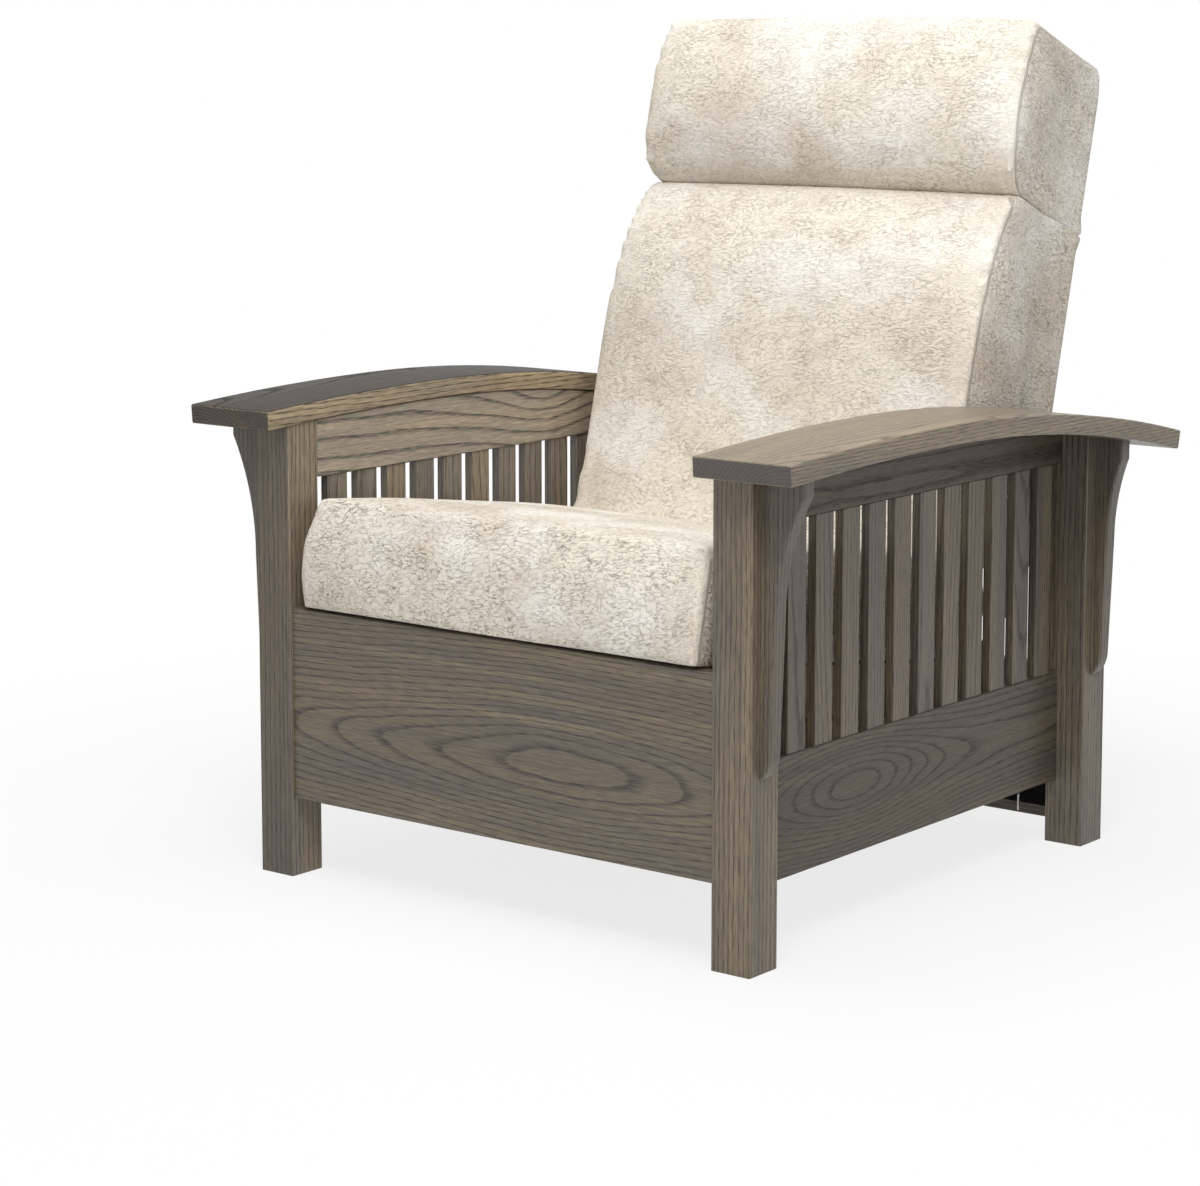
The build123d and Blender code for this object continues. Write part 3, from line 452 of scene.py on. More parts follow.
@dataclass(frozen=True)
class CrackledLeather:
    """Cream leather with a fine crackle and cloudy mottling, with a painted highlight and painted shade
    along the rim of each face.

    Lengths are in metres, turns in radians. A fineness is per metre on each axis, and a
    reach is how far a pattern is pushed about by another.
    """

    cream: Colour = srgb(238, 230, 215)
    pale: Colour = srgb(246, 241, 232)
    brown: Colour = srgb(214, 202, 185)
    crease: Colour = srgb(112, 97, 79)
    cell: float = 0.0030
    stretch: float = 0.4
    line: float = 0.05
    seam_inset: float = 0.010
    face_turn: Triple = (0.0, 0.10, -0.12)
    side_turn: Triple = (0.0, 0.55, 1.1)
    pull_fineness: Triple = (13.0, 13.0, 13.0)
    pull_reach: Triple = (0.010, 0.030, 0.030)
    curl_fineness: Triple = (130.0, 130.0, 130.0)
    curl_reach: Triple = (0.0016, 0.0018, 0.0018)
    patch_fineness: Triple = (26.0, 34.0, 34.0)
    blotch_fineness: Triple = (7.5, 8.5, 8.5)
    dirt_fineness: Triple = (9.0, 10.0, 10.0)

    def dress(self, name: str, seed: float, crackle: float = 1.0) -> bpy.types.Material:
        """Make the finish of one cushion.

        Args:
            name: The cushion's name.
            seed: Which part of the pattern it is cut from.
            crackle: How dark its creases are.

        Returns:
            The material.
        """
        bench = Surface(f"crackled_leather_{name}", {"Specular IOR Level": 0.3})
        place = bench.place()
        behind = bench.painted("behind_rim")
        side = behind.rise(self.seam_inset - 0.002, self.seam_inset + 0.002)
        on_face = bench.turned(place, self.face_turn)
        on_side = bench.turned(place, self.side_turn)
        hide = bench.blend(side, on_face, on_side)
        loose = bench.warp(hide, self.pull_fineness, seed + 1, self.pull_reach)
        loose = bench.warp(loose, self.curl_fineness, seed + 2, self.curl_reach)
        size = 1.0 / self.cell
        pebbles = bench.cells(loose, (size * self.stretch, size, size), seed + 3).rise(0.3, 0.9)
        waves = bench.cloud(loose, (size * 0.26, size * 0.72, size * 0.72), seed + 4, detail=2.0)
        lines = 1.0 - abs(waves - 0.5).rise(0.0, self.line)
        patch = bench.cloud(hide, self.patch_fineness, seed + 5, detail=2.0).rise(0.34, 0.64)
        rim = bench.painted("rim")
        # Painted highlight: fewer creases on the face near its side edges, so a lighter band runs along
        # the rim.
        painted_rim_highlight = 1.0 - rim * (1.0 - side) * 0.45
        creases = (pebbles * 0.32 + lines * 0.68) * (patch * 0.4 + 0.75) * painted_rim_highlight
        blotch = bench.cloud(place, self.blotch_fineness, seed + 6, detail=3.0).rise(0.44, 0.66)
        dirt = bench.cloud(place, self.dirt_fineness, seed + 8, detail=3.0, rough=0.55)
        hue = bench.mix(blotch, self.cream, self.pale)
        # The brown cloud is mottling; the rim's share of it is painted shade, darker towards the side
        # edges.
        hue = bench.mix((dirt + rim * 0.04).rise(0.42, 0.74) * 0.7, hue, self.brown)
        depth = (0.52 - blotch * 0.18 + side * 0.14) * crackle
        hue = bench.mix(creases * depth, hue, self.crease)
        seam = 1.0 - abs(behind - self.seam_inset).rise(0.0001, 0.0009)
        hue = bench.mix(seam * 0.08, hue, self.crease)
        return bench.end(
            Base_Color=hue,
            Roughness=creases * 0.2 + dirt * 0.1 + 0.46,
            Normal=bench.bump(1.0 - creases - seam * 0.15, 0.0009, 0.8),
        )


@dataclass(frozen=True)
class BareHardwood:
    """Sawn hardwood of the frames inside, without stain."""

    light: Colour = srgb(184, 167, 141)
    dark: Colour = srgb(146, 128, 104)
    band_fineness: Triple = (30.0, 30.0, 30.0)
    fuzz_fineness: Triple = (700.0, 90.0, 300.0)

    def dress(self) -> bpy.types.Material:
        """Make the finish of the inner frames."""
        bench = Surface("bare_hardwood", {"Specular IOR Level": 0.3})
        place = bench.place()
        bands = bench.cloud(place, self.band_fineness, 4.0, detail=4.0, rough=0.6)
        fuzz = bench.cloud(place, self.fuzz_fineness, 9.0)
        hue = bench.mix((bands * 0.7 + fuzz * 0.3).rise(0.35, 0.65), self.light, self.dark)
        return bench.end(
            Base_Color=hue, Roughness=fuzz * 0.2 + 0.6, Normal=bench.bump(fuzz, 0.0004, 0.6)
        )


@dataclass(frozen=True)
class GearFinish:
    """The gear's painted or plated steel, or the nylon of its bushes."""

    name: str
    hue: Colour
    worn: Colour
    metallic: float
    rough: float
    cloud_fineness: Triple = (60.0, 60.0, 60.0)
    peel_fineness: Triple = (900.0, 900.0, 900.0)

    def dress(self) -> bpy.types.Material:
        """Make the finish of the gear's pieces."""
        bench = Surface(self.name, {"Metallic": self.metallic, "Specular IOR Level": 0.5})
        place = bench.place()
        clouds = bench.cloud(place, self.cloud_fineness, 2.0, detail=3.0)
        peel = bench.cloud(place, self.peel_fineness, 5.0, detail=1.0)
        hue = bench.mix(clouds.rise(0.4, 0.75), self.hue, self.worn)
        return bench.end(
            Base_Color=hue,
            Roughness=clouds * 0.15 + self.rough,
            Normal=bench.bump(peel, 0.0002, 0.5),
        )


@dataclass(frozen=True)
class Woven:
    """Cloth of crossing threads."""

    name: str
    hue: Colour
    shade: Colour
    thread: float
    fluff_fineness: Triple = (400.0, 400.0, 400.0)

    def dress(self) -> bpy.types.Material:
        """Make the finish of the cloth."""
        bench = Surface(self.name, {"Specular IOR Level": 0.15})
        place = bench.place()
        across, over, along = bench.split(place)
        pitch = 2.0 * math.pi / self.thread
        warp = (across * pitch).sine()
        weft = ((over + along) * pitch).sine()
        threads = warp * weft * 0.5 + 0.5
        fluff = bench.cloud(place, self.fluff_fineness, 3.0)
        hue = bench.mix(threads * 0.6 + fluff * 0.4, self.shade, self.hue)
        return bench.end(
            Base_Color=hue,
            Roughness=fluff * 0.1 + 0.8,
            Normal=bench.bump(threads * 0.7 + fluff * 0.3, 0.0005, 0.8),
        )


def deselect() -> None:
    """Leave nothing selected."""
    if bpy.context.mode != "OBJECT":
        bpy.ops.object.mode_set(mode="OBJECT")
    bpy.ops.object.select_all(action="DESELECT")


def choose(piece: bpy.types.Object) -> None:
    """Select one piece and make it active."""
    deselect()
    piece.select_set(True)
    bpy.context.view_layer.objects.active = piece


def finish_modifier(piece: bpy.types.Object, kind: str, **settings: object) -> None:
    """Put a modifier on a piece and apply it.

    Args:
        piece: The piece.
        kind: The modifier's type.
        settings: Its properties.
    """
    choose(piece)
    modifier = piece.modifiers.new(kind.title(), kind)
    for key, value in settings.items():
        setattr(modifier, key, value)
    bpy.ops.object.modifier_apply(modifier=modifier.name)


def points_of(piece: bpy.types.Object) -> np.ndarray:
    """Read the places of a piece's points, one row each."""
    places = np.empty(len(piece.data.vertices) * 3)
    piece.data.vertices.foreach_get("co", places)
    return places.reshape(-1, 3)


def normals_of(piece: bpy.types.Object) -> np.ndarray:
    """Read the way each point of a piece faces, one row each."""
    facing = np.empty(len(piece.data.vertices) * 3)
    piece.data.vertex_normals.foreach_get("vector", facing)
    return facing.reshape(-1, 3)


def set_points(piece: bpy.types.Object, places: np.ndarray) -> None:
    """Write the places of a piece's points."""
    piece.data.vertices.foreach_set("co", places.ravel())
    piece.data.update()


def paint(piece: bpy.types.Object, name: str, values: np.ndarray) -> None:
    """Keep a number for each point of a piece, for its material."""
    layer = piece.data.attributes.new(name, "FLOAT", "POINT")
    layer.data.foreach_set("value", values.astype(np.float32))


def wear(piece: bpy.types.Object, finish: bpy.types.Material) -> None:
    """Give a piece one finish all over."""
    if piece.material_slots:
        for slot in piece.material_slots:
            slot.material = finish
    else:
        piece.data.materials.append(finish)


@dataclass
class Joinery:
    """The oak frame: legs, arms, corbels, rails, slats, panel and apron."""

    oak: StainedOak = field(default_factory=StainedOak)
    slat_count: int = 12
    eased: float = 0.0016
    eased_steps: int = 2
    eased_above: float = math.radians(40.0)
    joined_within: float = 1e-5
    draw: random.Random = field(default_factory=lambda: random.Random(1907))

    def boards(self) -> dict[str, Board]:
        """List the boards by the CAD node that each one is.

        Returns:
            The boards.
        """
        up, wide, deep = Grain.UPRIGHT, Grain.ALONG_WIDTH, Grain.ALONG_DEPTH
        # Painted light and shade in these boards: faces towards +x on the left side painted lighter, the
        # left arm's top darker, the right rails darker where the arm's shadow falls.
        boards = {
            "front_leg_left": Board(
                up, (-0.12, 0.11), 0.0046, seed=1.0, cool=0.42, tone=1.5, over_face_painted_light=0.52
            ),
            "front_leg_right": Board(
                up, (0.13, 0.10), 0.0046, seed=2.0, cool=0.40, tan=0.42, over_face_painted_light=1.08
            ),
            "rear_leg_left": Board(up, (-0.034, 0.02), 0.0050, seed=3.0, cool=0.62, tan=0.42, tone=0.9),
            "rear_leg_right": Board(up, (0.05, 0.03), 0.0050, seed=4.0, cool=0.5, tone=1.08),
            "arm_left": Board(
                deep, (-0.05, -0.062), 0.0040, seed=5.0, cool=0.4, tone=2.1, over_face_painted_light=0.10, gloss=0.15
            ),
            "arm_right": Board(deep, (0.06, -0.055), 0.0042, seed=6.0, cool=0.42, tone=1.3),
            "front_corbel_left": Board(up, (-0.09, 0.10), 0.0040, seed=7.0, cool=0.6, tone=0.86),
            "front_corbel_right": Board(up, (0.09, 0.10), 0.0040, seed=8.0, cool=0.55, tone=0.86),
            "rear_corbel_left": Board(up, (-0.09, 0.08), 0.0040, seed=9.0, cool=0.6, tone=0.84),
            "rear_corbel_right": Board(up, (0.10, 0.08), 0.0040, seed=10.0, cool=0.6, tone=0.84),
            "upper_side_rail_left": Board(
                deep,
                (-0.05, 0.07),
                0.0120,
                bulge=0.03,
                bulge_at=0.1,
                wander=0.008,
                seed=11.0,
                cool=0.64,
                tan=0.22,
                tone=2.5,
                dark=1.0,
            ),
            "upper_side_rail_right": Board(
                deep, (0.05, -0.02), 0.0060, seed=12.0, cool=0.5, tone=0.56, gloss=0.6
            ),
            "lower_side_rail_left": Board(
                deep, (-0.036, 0.004), 0.0058, bulge=0.034, bulge_at=-0.15, seed=13.0, cool=0.58, tone=0.9
            ),
            "lower_side_rail_right": Board(
                deep,
                (0.030, 0.012),
                0.0050,
                bulge=0.034,
                bulge_at=-0.12,
                bulge_span=0.14,
                wander=0.006,
                seed=14.0,
                cool=0.55,
                tone=0.62,
                gloss=0.7,
            ),
            "front_panel": Board(
                wide,
                (0.034, -0.02),
                0.0056,
                bulge=0.04,
                bulge_at=0.10,
                bulge_span=0.28,
                wander=0.008,
                seed=15.0,
                cool=0.46,
            ),
            "rear_apron": Board(wide, (-0.08, 0.03), 0.0050, seed=16.0, cool=0.45),
        }
        for side, hand in (("left", -1.0), ("right", 1.0)):
            for number in range(1, self.slat_count + 1):
                pith = (hand * self.draw.uniform(0.02, 0.12), self.draw.uniform(-0.09, 0.09))
                # Painted light: the left slats painted lighter with darker front and back faces, the
                # right slats a little darker.
                boards[f"side_slat_{side}_{number:02d}"] = Board(
                    up,
                    pith,
                    self.draw.uniform(0.0032, 0.0056),
                    lean=(self.draw.uniform(-0.03, 0.03), self.draw.uniform(-0.02, 0.02)),
                    tone=self.draw.uniform(0.88, 1.10) * (1.5 if hand < 0 else 0.95),
                    over_face_painted_light=0.6 if hand < 0 else 0.95,
                    cool=self.draw.uniform(0.38, 0.66),
                    tan=self.draw.uniform(0.25, 0.45),
                    seed=20.0 + number * 1.7 + hand * 30.0,
                )
        return boards

    def build(self) -> None:
        """Dress every board of the frame and ease its edges."""
        for node, board in self.boards().items():
            low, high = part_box(node)
            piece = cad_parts[node]
            wear(piece, self.oak.dress(node, board, tuple((low + high) / 2.0)))
            weld = piece.modifiers.new("Weld", "WELD")
            weld.merge_threshold = self.joined_within
            ease = piece.modifiers.new("Eased edges", "BEVEL")
            ease.width = self.eased
            ease.segments = self.eased_steps
            ease.limit_method = "ANGLE"
            ease.angle_limit = self.eased_above
            ease.harden_normals = True
            log.info("board %s dressed", node)


def ramp(value: np.ndarray, start: float, end: float) -> np.ndarray:
    """Run from 0 at the start to 1 at the end, which may be the lower one, and level beyond."""
    return np.clip((value - start) / (end - start), 0.0, 1.0)


def edges_of(piece: bpy.types.Object) -> np.ndarray:
    """Read which points each edge joins, as two rows of numbers."""
    ends = np.empty(len(piece.data.edges) * 2, dtype=np.int64)
    piece.data.edges.foreach_get("vertices", ends)
    return ends.reshape(-1, 2).T


def evened(values: np.ndarray, edges: np.ndarray, rounds: int, loose: np.ndarray) -> np.ndarray:
    """Spread numbers over neighbouring points.

    Args:
        values: One number a point.
        edges: The points that each edge joins, in two rows.
        rounds: How often each number moves half-way to its neighbours' mean.
        loose: How freely each number moves, from 0 to 1.

    Returns:
        The evened numbers.
    """
    first, second = edges
    count = np.bincount(np.concatenate(edges), minlength=len(values))
    for _ in range(rounds):
        total = np.bincount(first, values[second], len(values))
        total += np.bincount(second, values[first], len(values))
        mean = np.where(count > 0, total / np.maximum(count, 1), values)
        values = values + 0.5 * (mean - values) * loose
    return values


@dataclass(frozen=True)
class Slope:
    """A straight line across a cushion's side: where it starts and how it climbs outward."""

    start: float
    climb: float = 0.0

    def at(self, out: np.ndarray) -> np.ndarray:
        """Say how far along the cushion the line is at these distances from its support."""
        return self.start + self.climb * out


@dataclass(frozen=True)
class Filling:
    """How a cushion is rounded and blown up, and how far its leather may move. Lengths in metres."""

    voxel: float = 0.0052
    joined_within: float = 1e-5
    ironing: int = 60
    ironed_from: float = 0.022
    ironed_above: float = 0.010
    lengthwise_share: float = 0.5
    soften: int = 6
    hide: float = 0.0012
    shrink: float = 0.002
    pressure: float = 4.0
    moments: int = 20
    swell_cap: float = 0.005
    sink_cap: float = 0.001
    evening: int = 120
    grip: float = 0.004
    grip_fade: float = 0.02
    held_fade: float = 0.03
    fill: float = 0.8


@dataclass(frozen=True)
class Seam:
    """How the side of a cushion is sewn to its face.

    Lengths are in metres. A band gives where an effect starts and where it is full.
    """

    inset: float = 0.010
    depth: float = 0.0002
    half_width: float = 0.005
    stitch: float = 0.012
    pucker: float = 0.2
    side_band: tuple[float, float] = (0.020, 0.012)
    turn_in: float = 0.007
    turn_reach: float = 0.05
    turn_band: tuple[float, float] = (0.050, 0.015)
    rim_reach: float = 0.05
    side_width: float = 0.03
    samples: int = 40
    blur: int = 2


@dataclass(frozen=True)
class BackHollow:
    """The hollow that takes the back's frame, and how the two back cushions meet over it.

    Lengths are in metres. A band gives where an effect starts and where it is full.
    """

    half_width: float = 0.276
    depth: float = 0.0536
    top: float = 0.530
    plug_spare: Triple = (0.002, 0.001, 0.0)
    cut_below: float = 0.3
    cut_behind: float = 0.1
    crease: Slope = Slope(0.358, math.tan(math.radians(6.9)))
    crease_band: tuple[float, float] = (0.024, 0.008)
    rear_band: tuple[float, float] = (0.115, 0.065)
    side_band: tuple[float, float] = (-0.006, -0.002)
    side_wall: float = 0.005
    side_hollow: float = 0.0035
    hollow_at: float = 0.082
    roll: float = 0.006
    roll_reach: float = 0.055
    roll_band: tuple[float, float] = (0.09, 0.12)
    tuck: float = 0.003
    tuck_reach: float = 0.03


@dataclass
class StuffedPart:
    """One leather cushion, swollen by its filling. Lengths in metres."""

    name: str
    node: str
    body: str
    seed: float
    origin: Triple
    lean: float
    held_below: float
    low: Slope = Slope(-FAR)
    high: Slope = Slope(FAR)
    hollow: BackHollow | None = None
    filling: Filling = Filling()
    seam: Seam = Seam()
    seam_turn: float = 0.0
    slim: float = 1.0
    crackle: float = 1.0
    smooth_below: float = math.radians(55.0)

    def own_axes(self, places: np.ndarray) -> np.ndarray:
        """Turn places to the cushion's own axes: across, along it, and out of its support."""
        tilt = Matrix.Rotation(-self.lean, 3, "X")
        return (places - np.array(self.origin)) @ np.array(tilt).T

    def chair_axes(self, own: np.ndarray) -> np.ndarray:
        """Turn places on the cushion's own axes back to the chair's."""
        return own @ np.array(Matrix.Rotation(-self.lean, 3, "X")) + np.array(self.origin)

    def carve(self, pad: bpy.types.Object, how: str, low: Slope, high: Slope, spare: Triple) -> None:
        """Fill the hollow that takes the back's frame, or cut it out.

        Args:
            pad: The cushion.
            how: UNION or DIFFERENCE.
            low: Where the block starts.
            high: Where it ends.
            spare: How much it is wider, deeper and further back than the frame.
        """
        deselect()
        bpy.ops.mesh.primitive_cube_add(size=1.0)
        block = bpy.context.active_object
        share = points_of(block) + 0.5
        wider, deeper, behind = spare
        out = share[:, 2] * (self.hollow.depth + deeper + behind) - behind
        along = np.where(share[:, 1] > 0.5, high.at(out), low.at(out))
        across = (2.0 * share[:, 0] - 1.0) * (self.hollow.half_width + wider)
        set_points(block, np.column_stack((across, along, out)))
        solver = "EXACT" if how == "UNION" else "MANIFOLD"
        finish_modifier(pad, "BOOLEAN", operation=how, object=block, solver=solver)
        bpy.data.objects.remove(block)

    def rough_out(self) -> bpy.types.Object:
        """Copy the solid, close its seams, fill its hollow and remesh it evenly.

        Returns:
            The rough cushion.
        """
        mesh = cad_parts[self.node].data.copy()
        mesh.materials.clear()
        pad = bpy.data.objects.new(self.name, mesh)
        bpy.context.scene.collection.objects.link(pad)
        choose(pad)
        bpy.ops.object.mode_set(mode="EDIT")
        bpy.ops.mesh.select_all(action="SELECT")
        bpy.ops.mesh.remove_doubles(threshold=self.filling.joined_within)
        bpy.ops.object.mode_set(mode="OBJECT")
        set_points(pad, self.own_axes(points_of(pad)))
        if self.hollow:
            top = Slope(min(self.high.start, self.hollow.top), self.high.climb)
            self.carve(pad, "UNION", self.low, top, self.hollow.plug_spare)
        finish_modifier(pad, "REMESH", mode="VOXEL", voxel_size=self.filling.voxel)
        self.iron(pad)
        crisp = points_of(pad)
        finish_modifier(pad, "SMOOTH", factor=0.5, iterations=self.filling.soften)
        soft = points_of(pad)
        share = ramp(crisp[:, 2:], self.held_below, self.held_below + self.filling.held_fade)
        grown = crisp + (soft - crisp) * share + normals_of(pad) * self.filling.hide
        grown[:, 0] *= self.slim
        set_points(pad, grown)
        return pad

    def iron(self, pad: bpy.types.Object) -> None:
        """Take the solid's facets out of the long faces, lengthwise and then crosswise.

        Args:
            pad: The cushion.
        """
        own = points_of(pad)
        edges = edges_of(pad)
        filling = self.filling
        for axis, others in ((1, (0, 2)), (0, (1, 2))):
            step = own[edges[1]] - own[edges[0]]
            length = np.linalg.norm(step, axis=1)
            lengthwise = np.abs(step[:, axis]) > filling.lengthwise_share * length
            run = own[:, axis]
            inner = np.minimum(run - run.min(), run.max() - run) > filling.ironed_from
            loose = (inner & (own[:, 2] > self.held_below + filling.ironed_above)).astype(float)
            for other in others:
                own[:, other] = evened(own[:, other], edges[:, lengthwise], filling.ironing, loose)
        set_points(pad, own)

    def freedom(self, own: np.ndarray) -> np.ndarray:
        """Say how far each point may move, from 0 beside the frame to 1 away from it."""
        out, along = own[:, 2], own[:, 1]
        grip = self.filling.grip
        loose = grip + self.filling.grip_fade
        from_low = ramp(along - self.low.at(out), grip, loose)
        from_high = ramp(self.high.at(out) - along, grip, loose)
        off_support = ramp(out, self.held_below, self.held_below + self.filling.held_fade)
        return off_support * from_low * from_high

    def swell(self, pad: bpy.types.Object) -> None:
        """Blow the cushion up a little and stop each point at the cap.

        Args:
            pad: The cushion.
        """
        before = points_of(pad)
        facing = normals_of(pad)
        free = self.freedom(before)[:, None]
        loose = before - facing * self.filling.shrink * free
        set_points(pad, loose)
        group = pad.vertex_groups.new(name="held")
        group.add([int(k) for k in np.flatnonzero(free[:, 0] <= 0.0)], 1.0, "REPLACE")
        choose(pad)
        cloth = pad.modifiers.new("Filling", "CLOTH")
        cloth.settings.use_pressure = True
        cloth.settings.uniform_pressure_force = self.filling.pressure
        cloth.settings.effector_weights.gravity = 0.0
        cloth.settings.vertex_group_mass = group.name
        cloth.settings.quality = 4
        cloth.collision_settings.use_collision = False
        scene = bpy.context.scene
        for moment in range(1, self.filling.moments + 1):
            scene.frame_set(moment)
        bpy.ops.object.modifier_apply(modifier=cloth.name)
        scene.frame_set(1)
        outward = ((points_of(pad) - before) * facing).sum(axis=1)
        outward = np.clip(outward, -self.filling.sink_cap, self.filling.swell_cap)
        outward = evened(outward, edges_of(pad), self.filling.evening, np.ones(len(outward)))
        set_points(pad, before + facing * outward[:, None] * free)

    def level_crease(self, pad: bpy.types.Object) -> None:
        """Shape the two back cushions where they meet each other and the seat.

        The sides come out again near the crease towards the rear, where it fades away, and
        the front rolls in towards it. The lower end is tucked down onto the seat.

        Args:
            pad: The cushion.
        """
        own = points_of(pad)
        hollow = self.hollow
        across, along, out = own.T
        width = np.abs(across)
        gap = np.minimum(np.abs(along - self.low.at(out)), np.abs(along - self.high.at(out)))
        share = ramp(gap, *hollow.crease_band) * ramp(out, *hollow.rear_band)
        share = share * ramp(width - hollow.half_width, *hollow.side_band)
        drawn = hollow.side_hollow * (1.0 - (out / hollow.hollow_at - 1.0) ** 2)
        level = hollow.half_width + hollow.side_wall - drawn
        own[:, 0] += np.sign(across) * np.maximum(level - width, 0.0) * share
        turn = ramp(np.abs(along - hollow.crease.at(out)), hollow.roll_reach, 0.0)
        own[:, 2] -= hollow.roll * turn**2 * ramp(out, *hollow.roll_band)
        if self.low.climb < 0.0:
            own[:, 1] -= hollow.tuck * ramp(along - self.low.at(out), hollow.tuck_reach, 0.0)
        set_points(pad, own)

    def edge_distance(self, own: np.ndarray) -> np.ndarray:
        """Measure how far behind the rim of its face each point of a side lies.

        Args:
            own: The points along the cushion's own axes.

        Returns:
            The distances, near nothing on the face itself.
        """
        width = np.abs(own[:, 0])
        outer = width > width.max() - self.seam.side_width
        distance = np.full(len(own), FAR)
        window = np.ones(2 * self.seam.blur + 1)
        for run, reach, hand in ((own[:, 1], own[:, 2], 1.0), (own[:, 2], own[:, 1], self.seam_turn)):
            if not hand:
                continue
            bins = np.linspace(run.min(), run.max(), self.seam.samples)
            middles = (bins[:-1] + bins[1:]) / 2.0
            which = np.clip(np.digitize(run, bins) - 1, 0, len(middles) - 1)
            slices = (reach[outer & (which == k)] * hand for k in range(len(middles)))
            rims = np.array([places.max(initial=-FAR) for places in slices])
            rims = np.interp(middles, middles[rims > -FAR], rims[rims > -FAR])
            widened = np.pad(rims, self.seam.blur, mode="edge")
            rims = np.convolve(widened, window / len(window), mode="valid")
            distance = np.minimum(distance, np.interp(run, middles, rims) - reach * hand)
        return distance

    def sew(self, pad: bpy.types.Object) -> None:
        """Draw the side seams in, turn the sides in towards the face, and note where both run.

        Args:
            pad: The cushion.
        """
        own = points_of(pad)
        seam = self.seam
        distance = self.edge_distance(own)
        inward = np.abs(own[:, 0]).max() - np.abs(own[:, 0])
        side = ramp(inward, *seam.side_band)
        near = np.maximum(1.0 - ((distance - seam.inset) / seam.half_width) ** 2, 0.0)
        wave = np.sin((own[:, 1] + own[:, 2]) * 2.0 * math.pi / seam.stitch)
        drawn = near**2 * side * (1.0 - seam.pucker + seam.pucker * wave) * seam.depth
        turned = ramp(distance, seam.turn_reach, 0.0) ** 2 * ramp(inward, *seam.turn_band)
        own -= normals_of(pad) * drawn[:, None]
        own[:, 0] -= np.sign(own[:, 0]) * turned * seam.turn_in
        set_points(pad, own)
        inward = np.abs(own[:, 0]).max() - np.abs(own[:, 0])
        paint(pad, "behind_rim", distance * side)
        # Closeness to the side edges, which the leather uses for its painted highlight and painted shade
        # along the rim.
        paint(pad, "rim", ramp(inward, seam.rim_reach, 0.0))

    def build(self) -> None:
        """Make the cushion and set it on its body."""
        pad = self.rough_out()
        self.swell(pad)
        if self.hollow:
            self.level_crease(pad)
        finish_modifier(pad, "SUBSURF", levels=1, render_levels=1)
        self.sew(pad)
        if self.hollow:
            low, high = Slope(-self.hollow.cut_below), Slope(self.hollow.top)
            self.carve(pad, "DIFFERENCE", low, high, (0.0, 0.0, self.hollow.cut_behind))
        set_points(pad, self.chair_axes(points_of(pad)))
        choose(pad)
        bpy.ops.object.shade_smooth_by_angle(angle=self.smooth_below)
        leather = CrackledLeather(seam_inset=self.seam.inset)
        wear(pad, leather.dress(self.name, self.seed, self.crackle))
        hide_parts(self.node)
        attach(pad, self.body)
        log.info("cushion %s: %d points", self.name, len(pad.data.vertices))


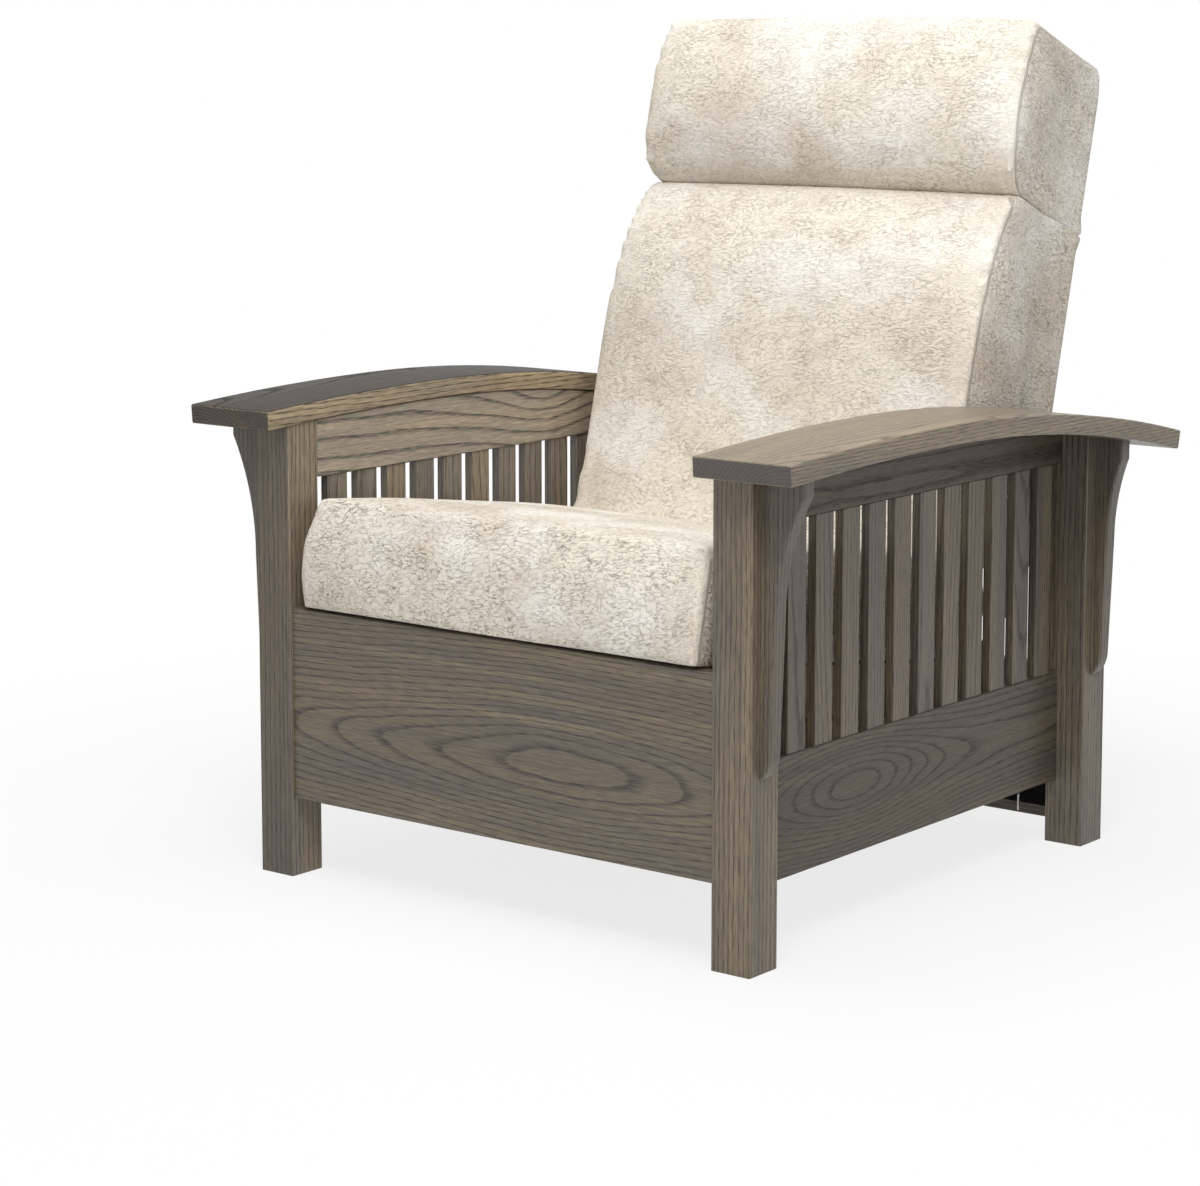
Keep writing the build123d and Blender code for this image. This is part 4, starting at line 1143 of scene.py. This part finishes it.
@dataclass
class Upholstery:
    """The three leather cushions and the covered board behind the back."""

    seat_slope: float = math.radians(8.0)
    seat_foot: Triple = (0.0, -0.4105, 0.328)
    back_lean: float = math.radians(14.5)
    back_foot: Triple = (0.0, 0.3018, 0.395)
    on_seat: Slope = Slope(-0.052, -0.12)
    hollow: BackHollow = BackHollow()
    board_thick: float = 0.008
    board_round: float = 0.003
    board_voxel: float = 0.004
    board_swell: float = 0.0025
    board_fade: float = 0.06
    board_smooth: float = math.radians(40.0)

    def covered_board(self) -> None:
        """Make the board behind the back, with leather drawn over its rounded edges."""
        deselect()
        bpy.ops.mesh.primitive_cube_add(size=1.0)
        board = bpy.context.active_object
        board.name = "covered_board"
        low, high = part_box("outside_back")
        half = (high[0] - low[0]) / 2.0
        rise = math.cos(self.back_lean)
        start = (low[2] - self.back_foot[2]) / rise
        end = (high[2] - self.back_foot[2] - self.board_thick * math.sin(self.back_lean)) / rise
        share = points_of(board) + 0.5
        own = np.column_stack(
            (
                (2.0 * share[:, 0] - 1.0) * half,
                start + (end - start) * share[:, 1],
                self.board_thick * share[:, 2],
            )
        )
        set_points(board, own)
        choose(board)
        bpy.ops.object.mode_set(mode="EDIT")
        bpy.ops.mesh.select_all(action="SELECT")
        bpy.ops.mesh.bevel(offset=self.board_round, segments=3, affect="EDGES")
        bpy.ops.object.mode_set(mode="OBJECT")
        finish_modifier(board, "REMESH", mode="VOXEL", voxel_size=self.board_voxel)
        own = points_of(board)
        across = ramp(half - np.abs(own[:, 0]), 0.0, self.board_fade)
        lengthwise = ramp(np.minimum(own[:, 1] - start, end - own[:, 1]), 0.0, self.board_fade)
        outer = own[:, 2] < self.board_thick / 4.0
        own[:, 2] -= self.board_swell * np.sin(across * lengthwise * math.pi / 2.0) * outer
        tilt = np.array(Matrix.Rotation(self.back_lean - math.pi / 2.0, 3, "X"))
        set_points(board, own @ tilt + np.array(self.back_foot))
        bpy.ops.object.shade_smooth_by_angle(angle=self.board_smooth)
        wear(board, CrackledLeather().dress("covered_board", 27.0))
        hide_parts("outside_back")
        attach(board, "back")
        log.info("covered board made")

    def build(self) -> None:
        """Make all that is covered in leather."""
        upright = math.pi / 2.0 - self.back_lean
        StuffedPart(
            name="seat_pillow",
            node="seat_cushion",
            body="seat",
            seed=3.0,
            origin=self.seat_foot,
            lean=-self.seat_slope,
            held_below=0.004,
            seam_turn=-1.0,
            slim=0.985,
            crackle=1.5,
        ).build()
        StuffedPart(
            name="back_pillow",
            node="back_cushion",
            body="back",
            seed=11.0,
            origin=self.back_foot,
            lean=upright,
            held_below=0.06,
            low=self.on_seat,
            high=self.hollow.crease,
            hollow=self.hollow,
        ).build()
        StuffedPart(
            name="head_pillow",
            node="headrest",
            body="back",
            seed=19.0,
            origin=self.back_foot,
            lean=upright,
            held_below=0.06,
            low=self.hollow.crease,
            hollow=self.hollow,
            seam_turn=1.0,
        ).build()
        self.covered_board()


@dataclass
class Underworks:
    """The frames, gear and cloths that work out of sight."""

    inner: tuple[str, ...] = (
        "back_stiles",
        "back_rails",
        "seat_side_rails",
        "seat_cross_rails",
        "seat_runners",
    )
    painted: tuple[str, ...] = ("pivot_plates", "hinge_arms", "link_brackets")
    plated: tuple[str, ...] = (
        "pivot_pins",
        "pivot_plate_screws",
        "hinge_arm_screws",
        "link_bracket_screws",
        "apron_hooks",
    )

    def build(self) -> None:
        """Dress the hidden pieces."""
        hardwood = BareHardwood().dress()
        black = GearFinish("black_paint", srgb(30, 30, 31), srgb(48, 47, 46), 0.0, 0.42).dress()
        zinc = GearFinish("zinc_plate", srgb(190, 190, 188), srgb(150, 150, 152), 1.0, 0.32).dress()
        nylon = GearFinish("nylon_bush", srgb(225, 223, 214), srgb(208, 205, 194), 0.0, 0.5).dress()
        cloth = Woven("black_dust_cloth", srgb(26, 25, 26), srgb(10, 10, 11), 0.003).dress()
        straps = Woven("elastic_webbing", srgb(98, 88, 76), srgb(48, 42, 36), 0.004).dress()
        groups = (
            (self.inner, hardwood),
            (self.painted, black),
            (self.plated, zinc),
            (("pivot_bushes",), nylon),
            (("dust_cover",), cloth),
            (("seat_webbing",), straps),
        )
        for names, finish in groups:
            for name in names:
                wear(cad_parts[name], finish)
                log.info("%s dressed", name)


@dataclass(frozen=True)
class Softbox:
    """One soft square lamp: where it hangs, the length of its side and its power in watts."""

    name: str
    place: Triple
    size: float
    power: float

    def hang(self, aim: Triple) -> None:
        """Hang the lamp so that it looks at a place."""
        data = bpy.data.lights.new(self.name, "AREA")
        data.size = self.size
        data.energy = self.power
        holder = bpy.data.objects.new(self.name, data)
        holder.location = self.place
        way = Vector(aim) - Vector(self.place)
        holder.rotation_euler = way.to_track_quat("-Z", "Y").to_euler()
        bpy.context.scene.collection.objects.link(holder)


@dataclass
class Studio:
    """Pale floor, white surround, plain lamps and the camera. Angles in degrees."""

    camera_place: Triple = (2.2541, -3.0761, 1.0021)
    camera_pitch: float = 90.0 - 7.6123
    camera_yaw: float = 38.2043
    lens: float = 95.744
    film_width: float = 36.0
    shift_up: float = -0.12
    sky: float = 0.1
    floor_size: float = 40.0
    shadow_reach: tuple[float, float] = (0.5, 1.5)
    aim: Triple = (0.0, 0.0, 0.5)
    lamps: tuple[Softbox, ...] = (
        Softbox("overhead_softbox", (0.0, -0.2, 3.4), 2.2, 64.0),
        Softbox("front_softbox", (1.35, -2.0, 3.2), 1.2, 72.0),
        Softbox("low_softbox", (1.3, -3.0, 1.1), 1.2, 7.5),
        Softbox("side_softbox", (3.0, -0.9, 1.3), 1.4, 12.0),
    )

    def camera(self) -> None:
        """Set the camera at the photograph's viewing angle."""
        data = bpy.data.cameras.new("viewpoint")
        data.lens = self.lens
        data.sensor_width = self.film_width
        data.shift_y = self.shift_up
        viewer = bpy.data.objects.new("viewpoint", data)
        viewer.location = self.camera_place
        viewer.rotation_euler = (math.radians(self.camera_pitch), 0.0, math.radians(self.camera_yaw))
        bpy.context.scene.collection.objects.link(viewer)
        bpy.context.scene.camera = viewer

    def surround(self) -> None:
        """Make the world white to the camera and in reflections, and softer as light."""
        world = bpy.data.worlds.new("white_room")
        bench = Bench(world)
        strength = bench.sees_background() * (1.0 - self.sky) + self.sky
        white = {"Color": (1.0, 1.0, 1.0), "Strength": strength}
        background = bench.node("ShaderNodeBackground", {}, white)
        bench.node("ShaderNodeOutputWorld", {}, {"Surface": background.outputs[0]})
        bpy.context.scene.world = world

    def floor(self) -> None:
        """Lay the pale floor, which keeps a soft shadow."""
        deselect()
        bpy.ops.mesh.primitive_plane_add(size=self.floor_size, location=(0.0, 0.0, 0.0))
        ground = bpy.context.active_object
        ground.name = "pale_floor"
        bench = Surface("pale_floor", {"Base Color": srgb(238, 238, 238), "Roughness": 0.9})
        glow = bench.node("ShaderNodeEmission", {}, {"Color": (1.0, 1.0, 1.0), "Strength": 1.0})
        across, deep, _ = bench.split(bench.place())
        away = (across * across + deep * deep).root().rise(*self.shadow_reach)
        share = bench.sees_background() * (away * 0.2 + 0.8)
        ends = {0: share, 1: bench.shader.outputs["BSDF"], 2: glow.outputs[0]}
        blended = bench.node("ShaderNodeMixShader", {}, ends)
        bench.tree.links.new(blended.outputs[0], bench.output.inputs["Surface"])
        wear(ground, bench.material)

    def build(self) -> None:
        """Set up the camera, the surround, the floor and the lamps."""
        self.camera()
        self.surround()
        self.floor()
        for lamp in self.lamps:
            lamp.hang(self.aim)
        bpy.context.scene.view_settings.view_transform = "Standard"
        log.info("studio lit by %d lamps", len(self.lamps))


def main() -> None:
    """Build the dressed chair piece by piece."""
    logging.basicConfig(level=logging.INFO, format="%(message)s")
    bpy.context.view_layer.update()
    Joinery().build()
    Underworks().build()
    Upholstery().build()
    Studio().build()


if __name__ == "__main__":
    main()
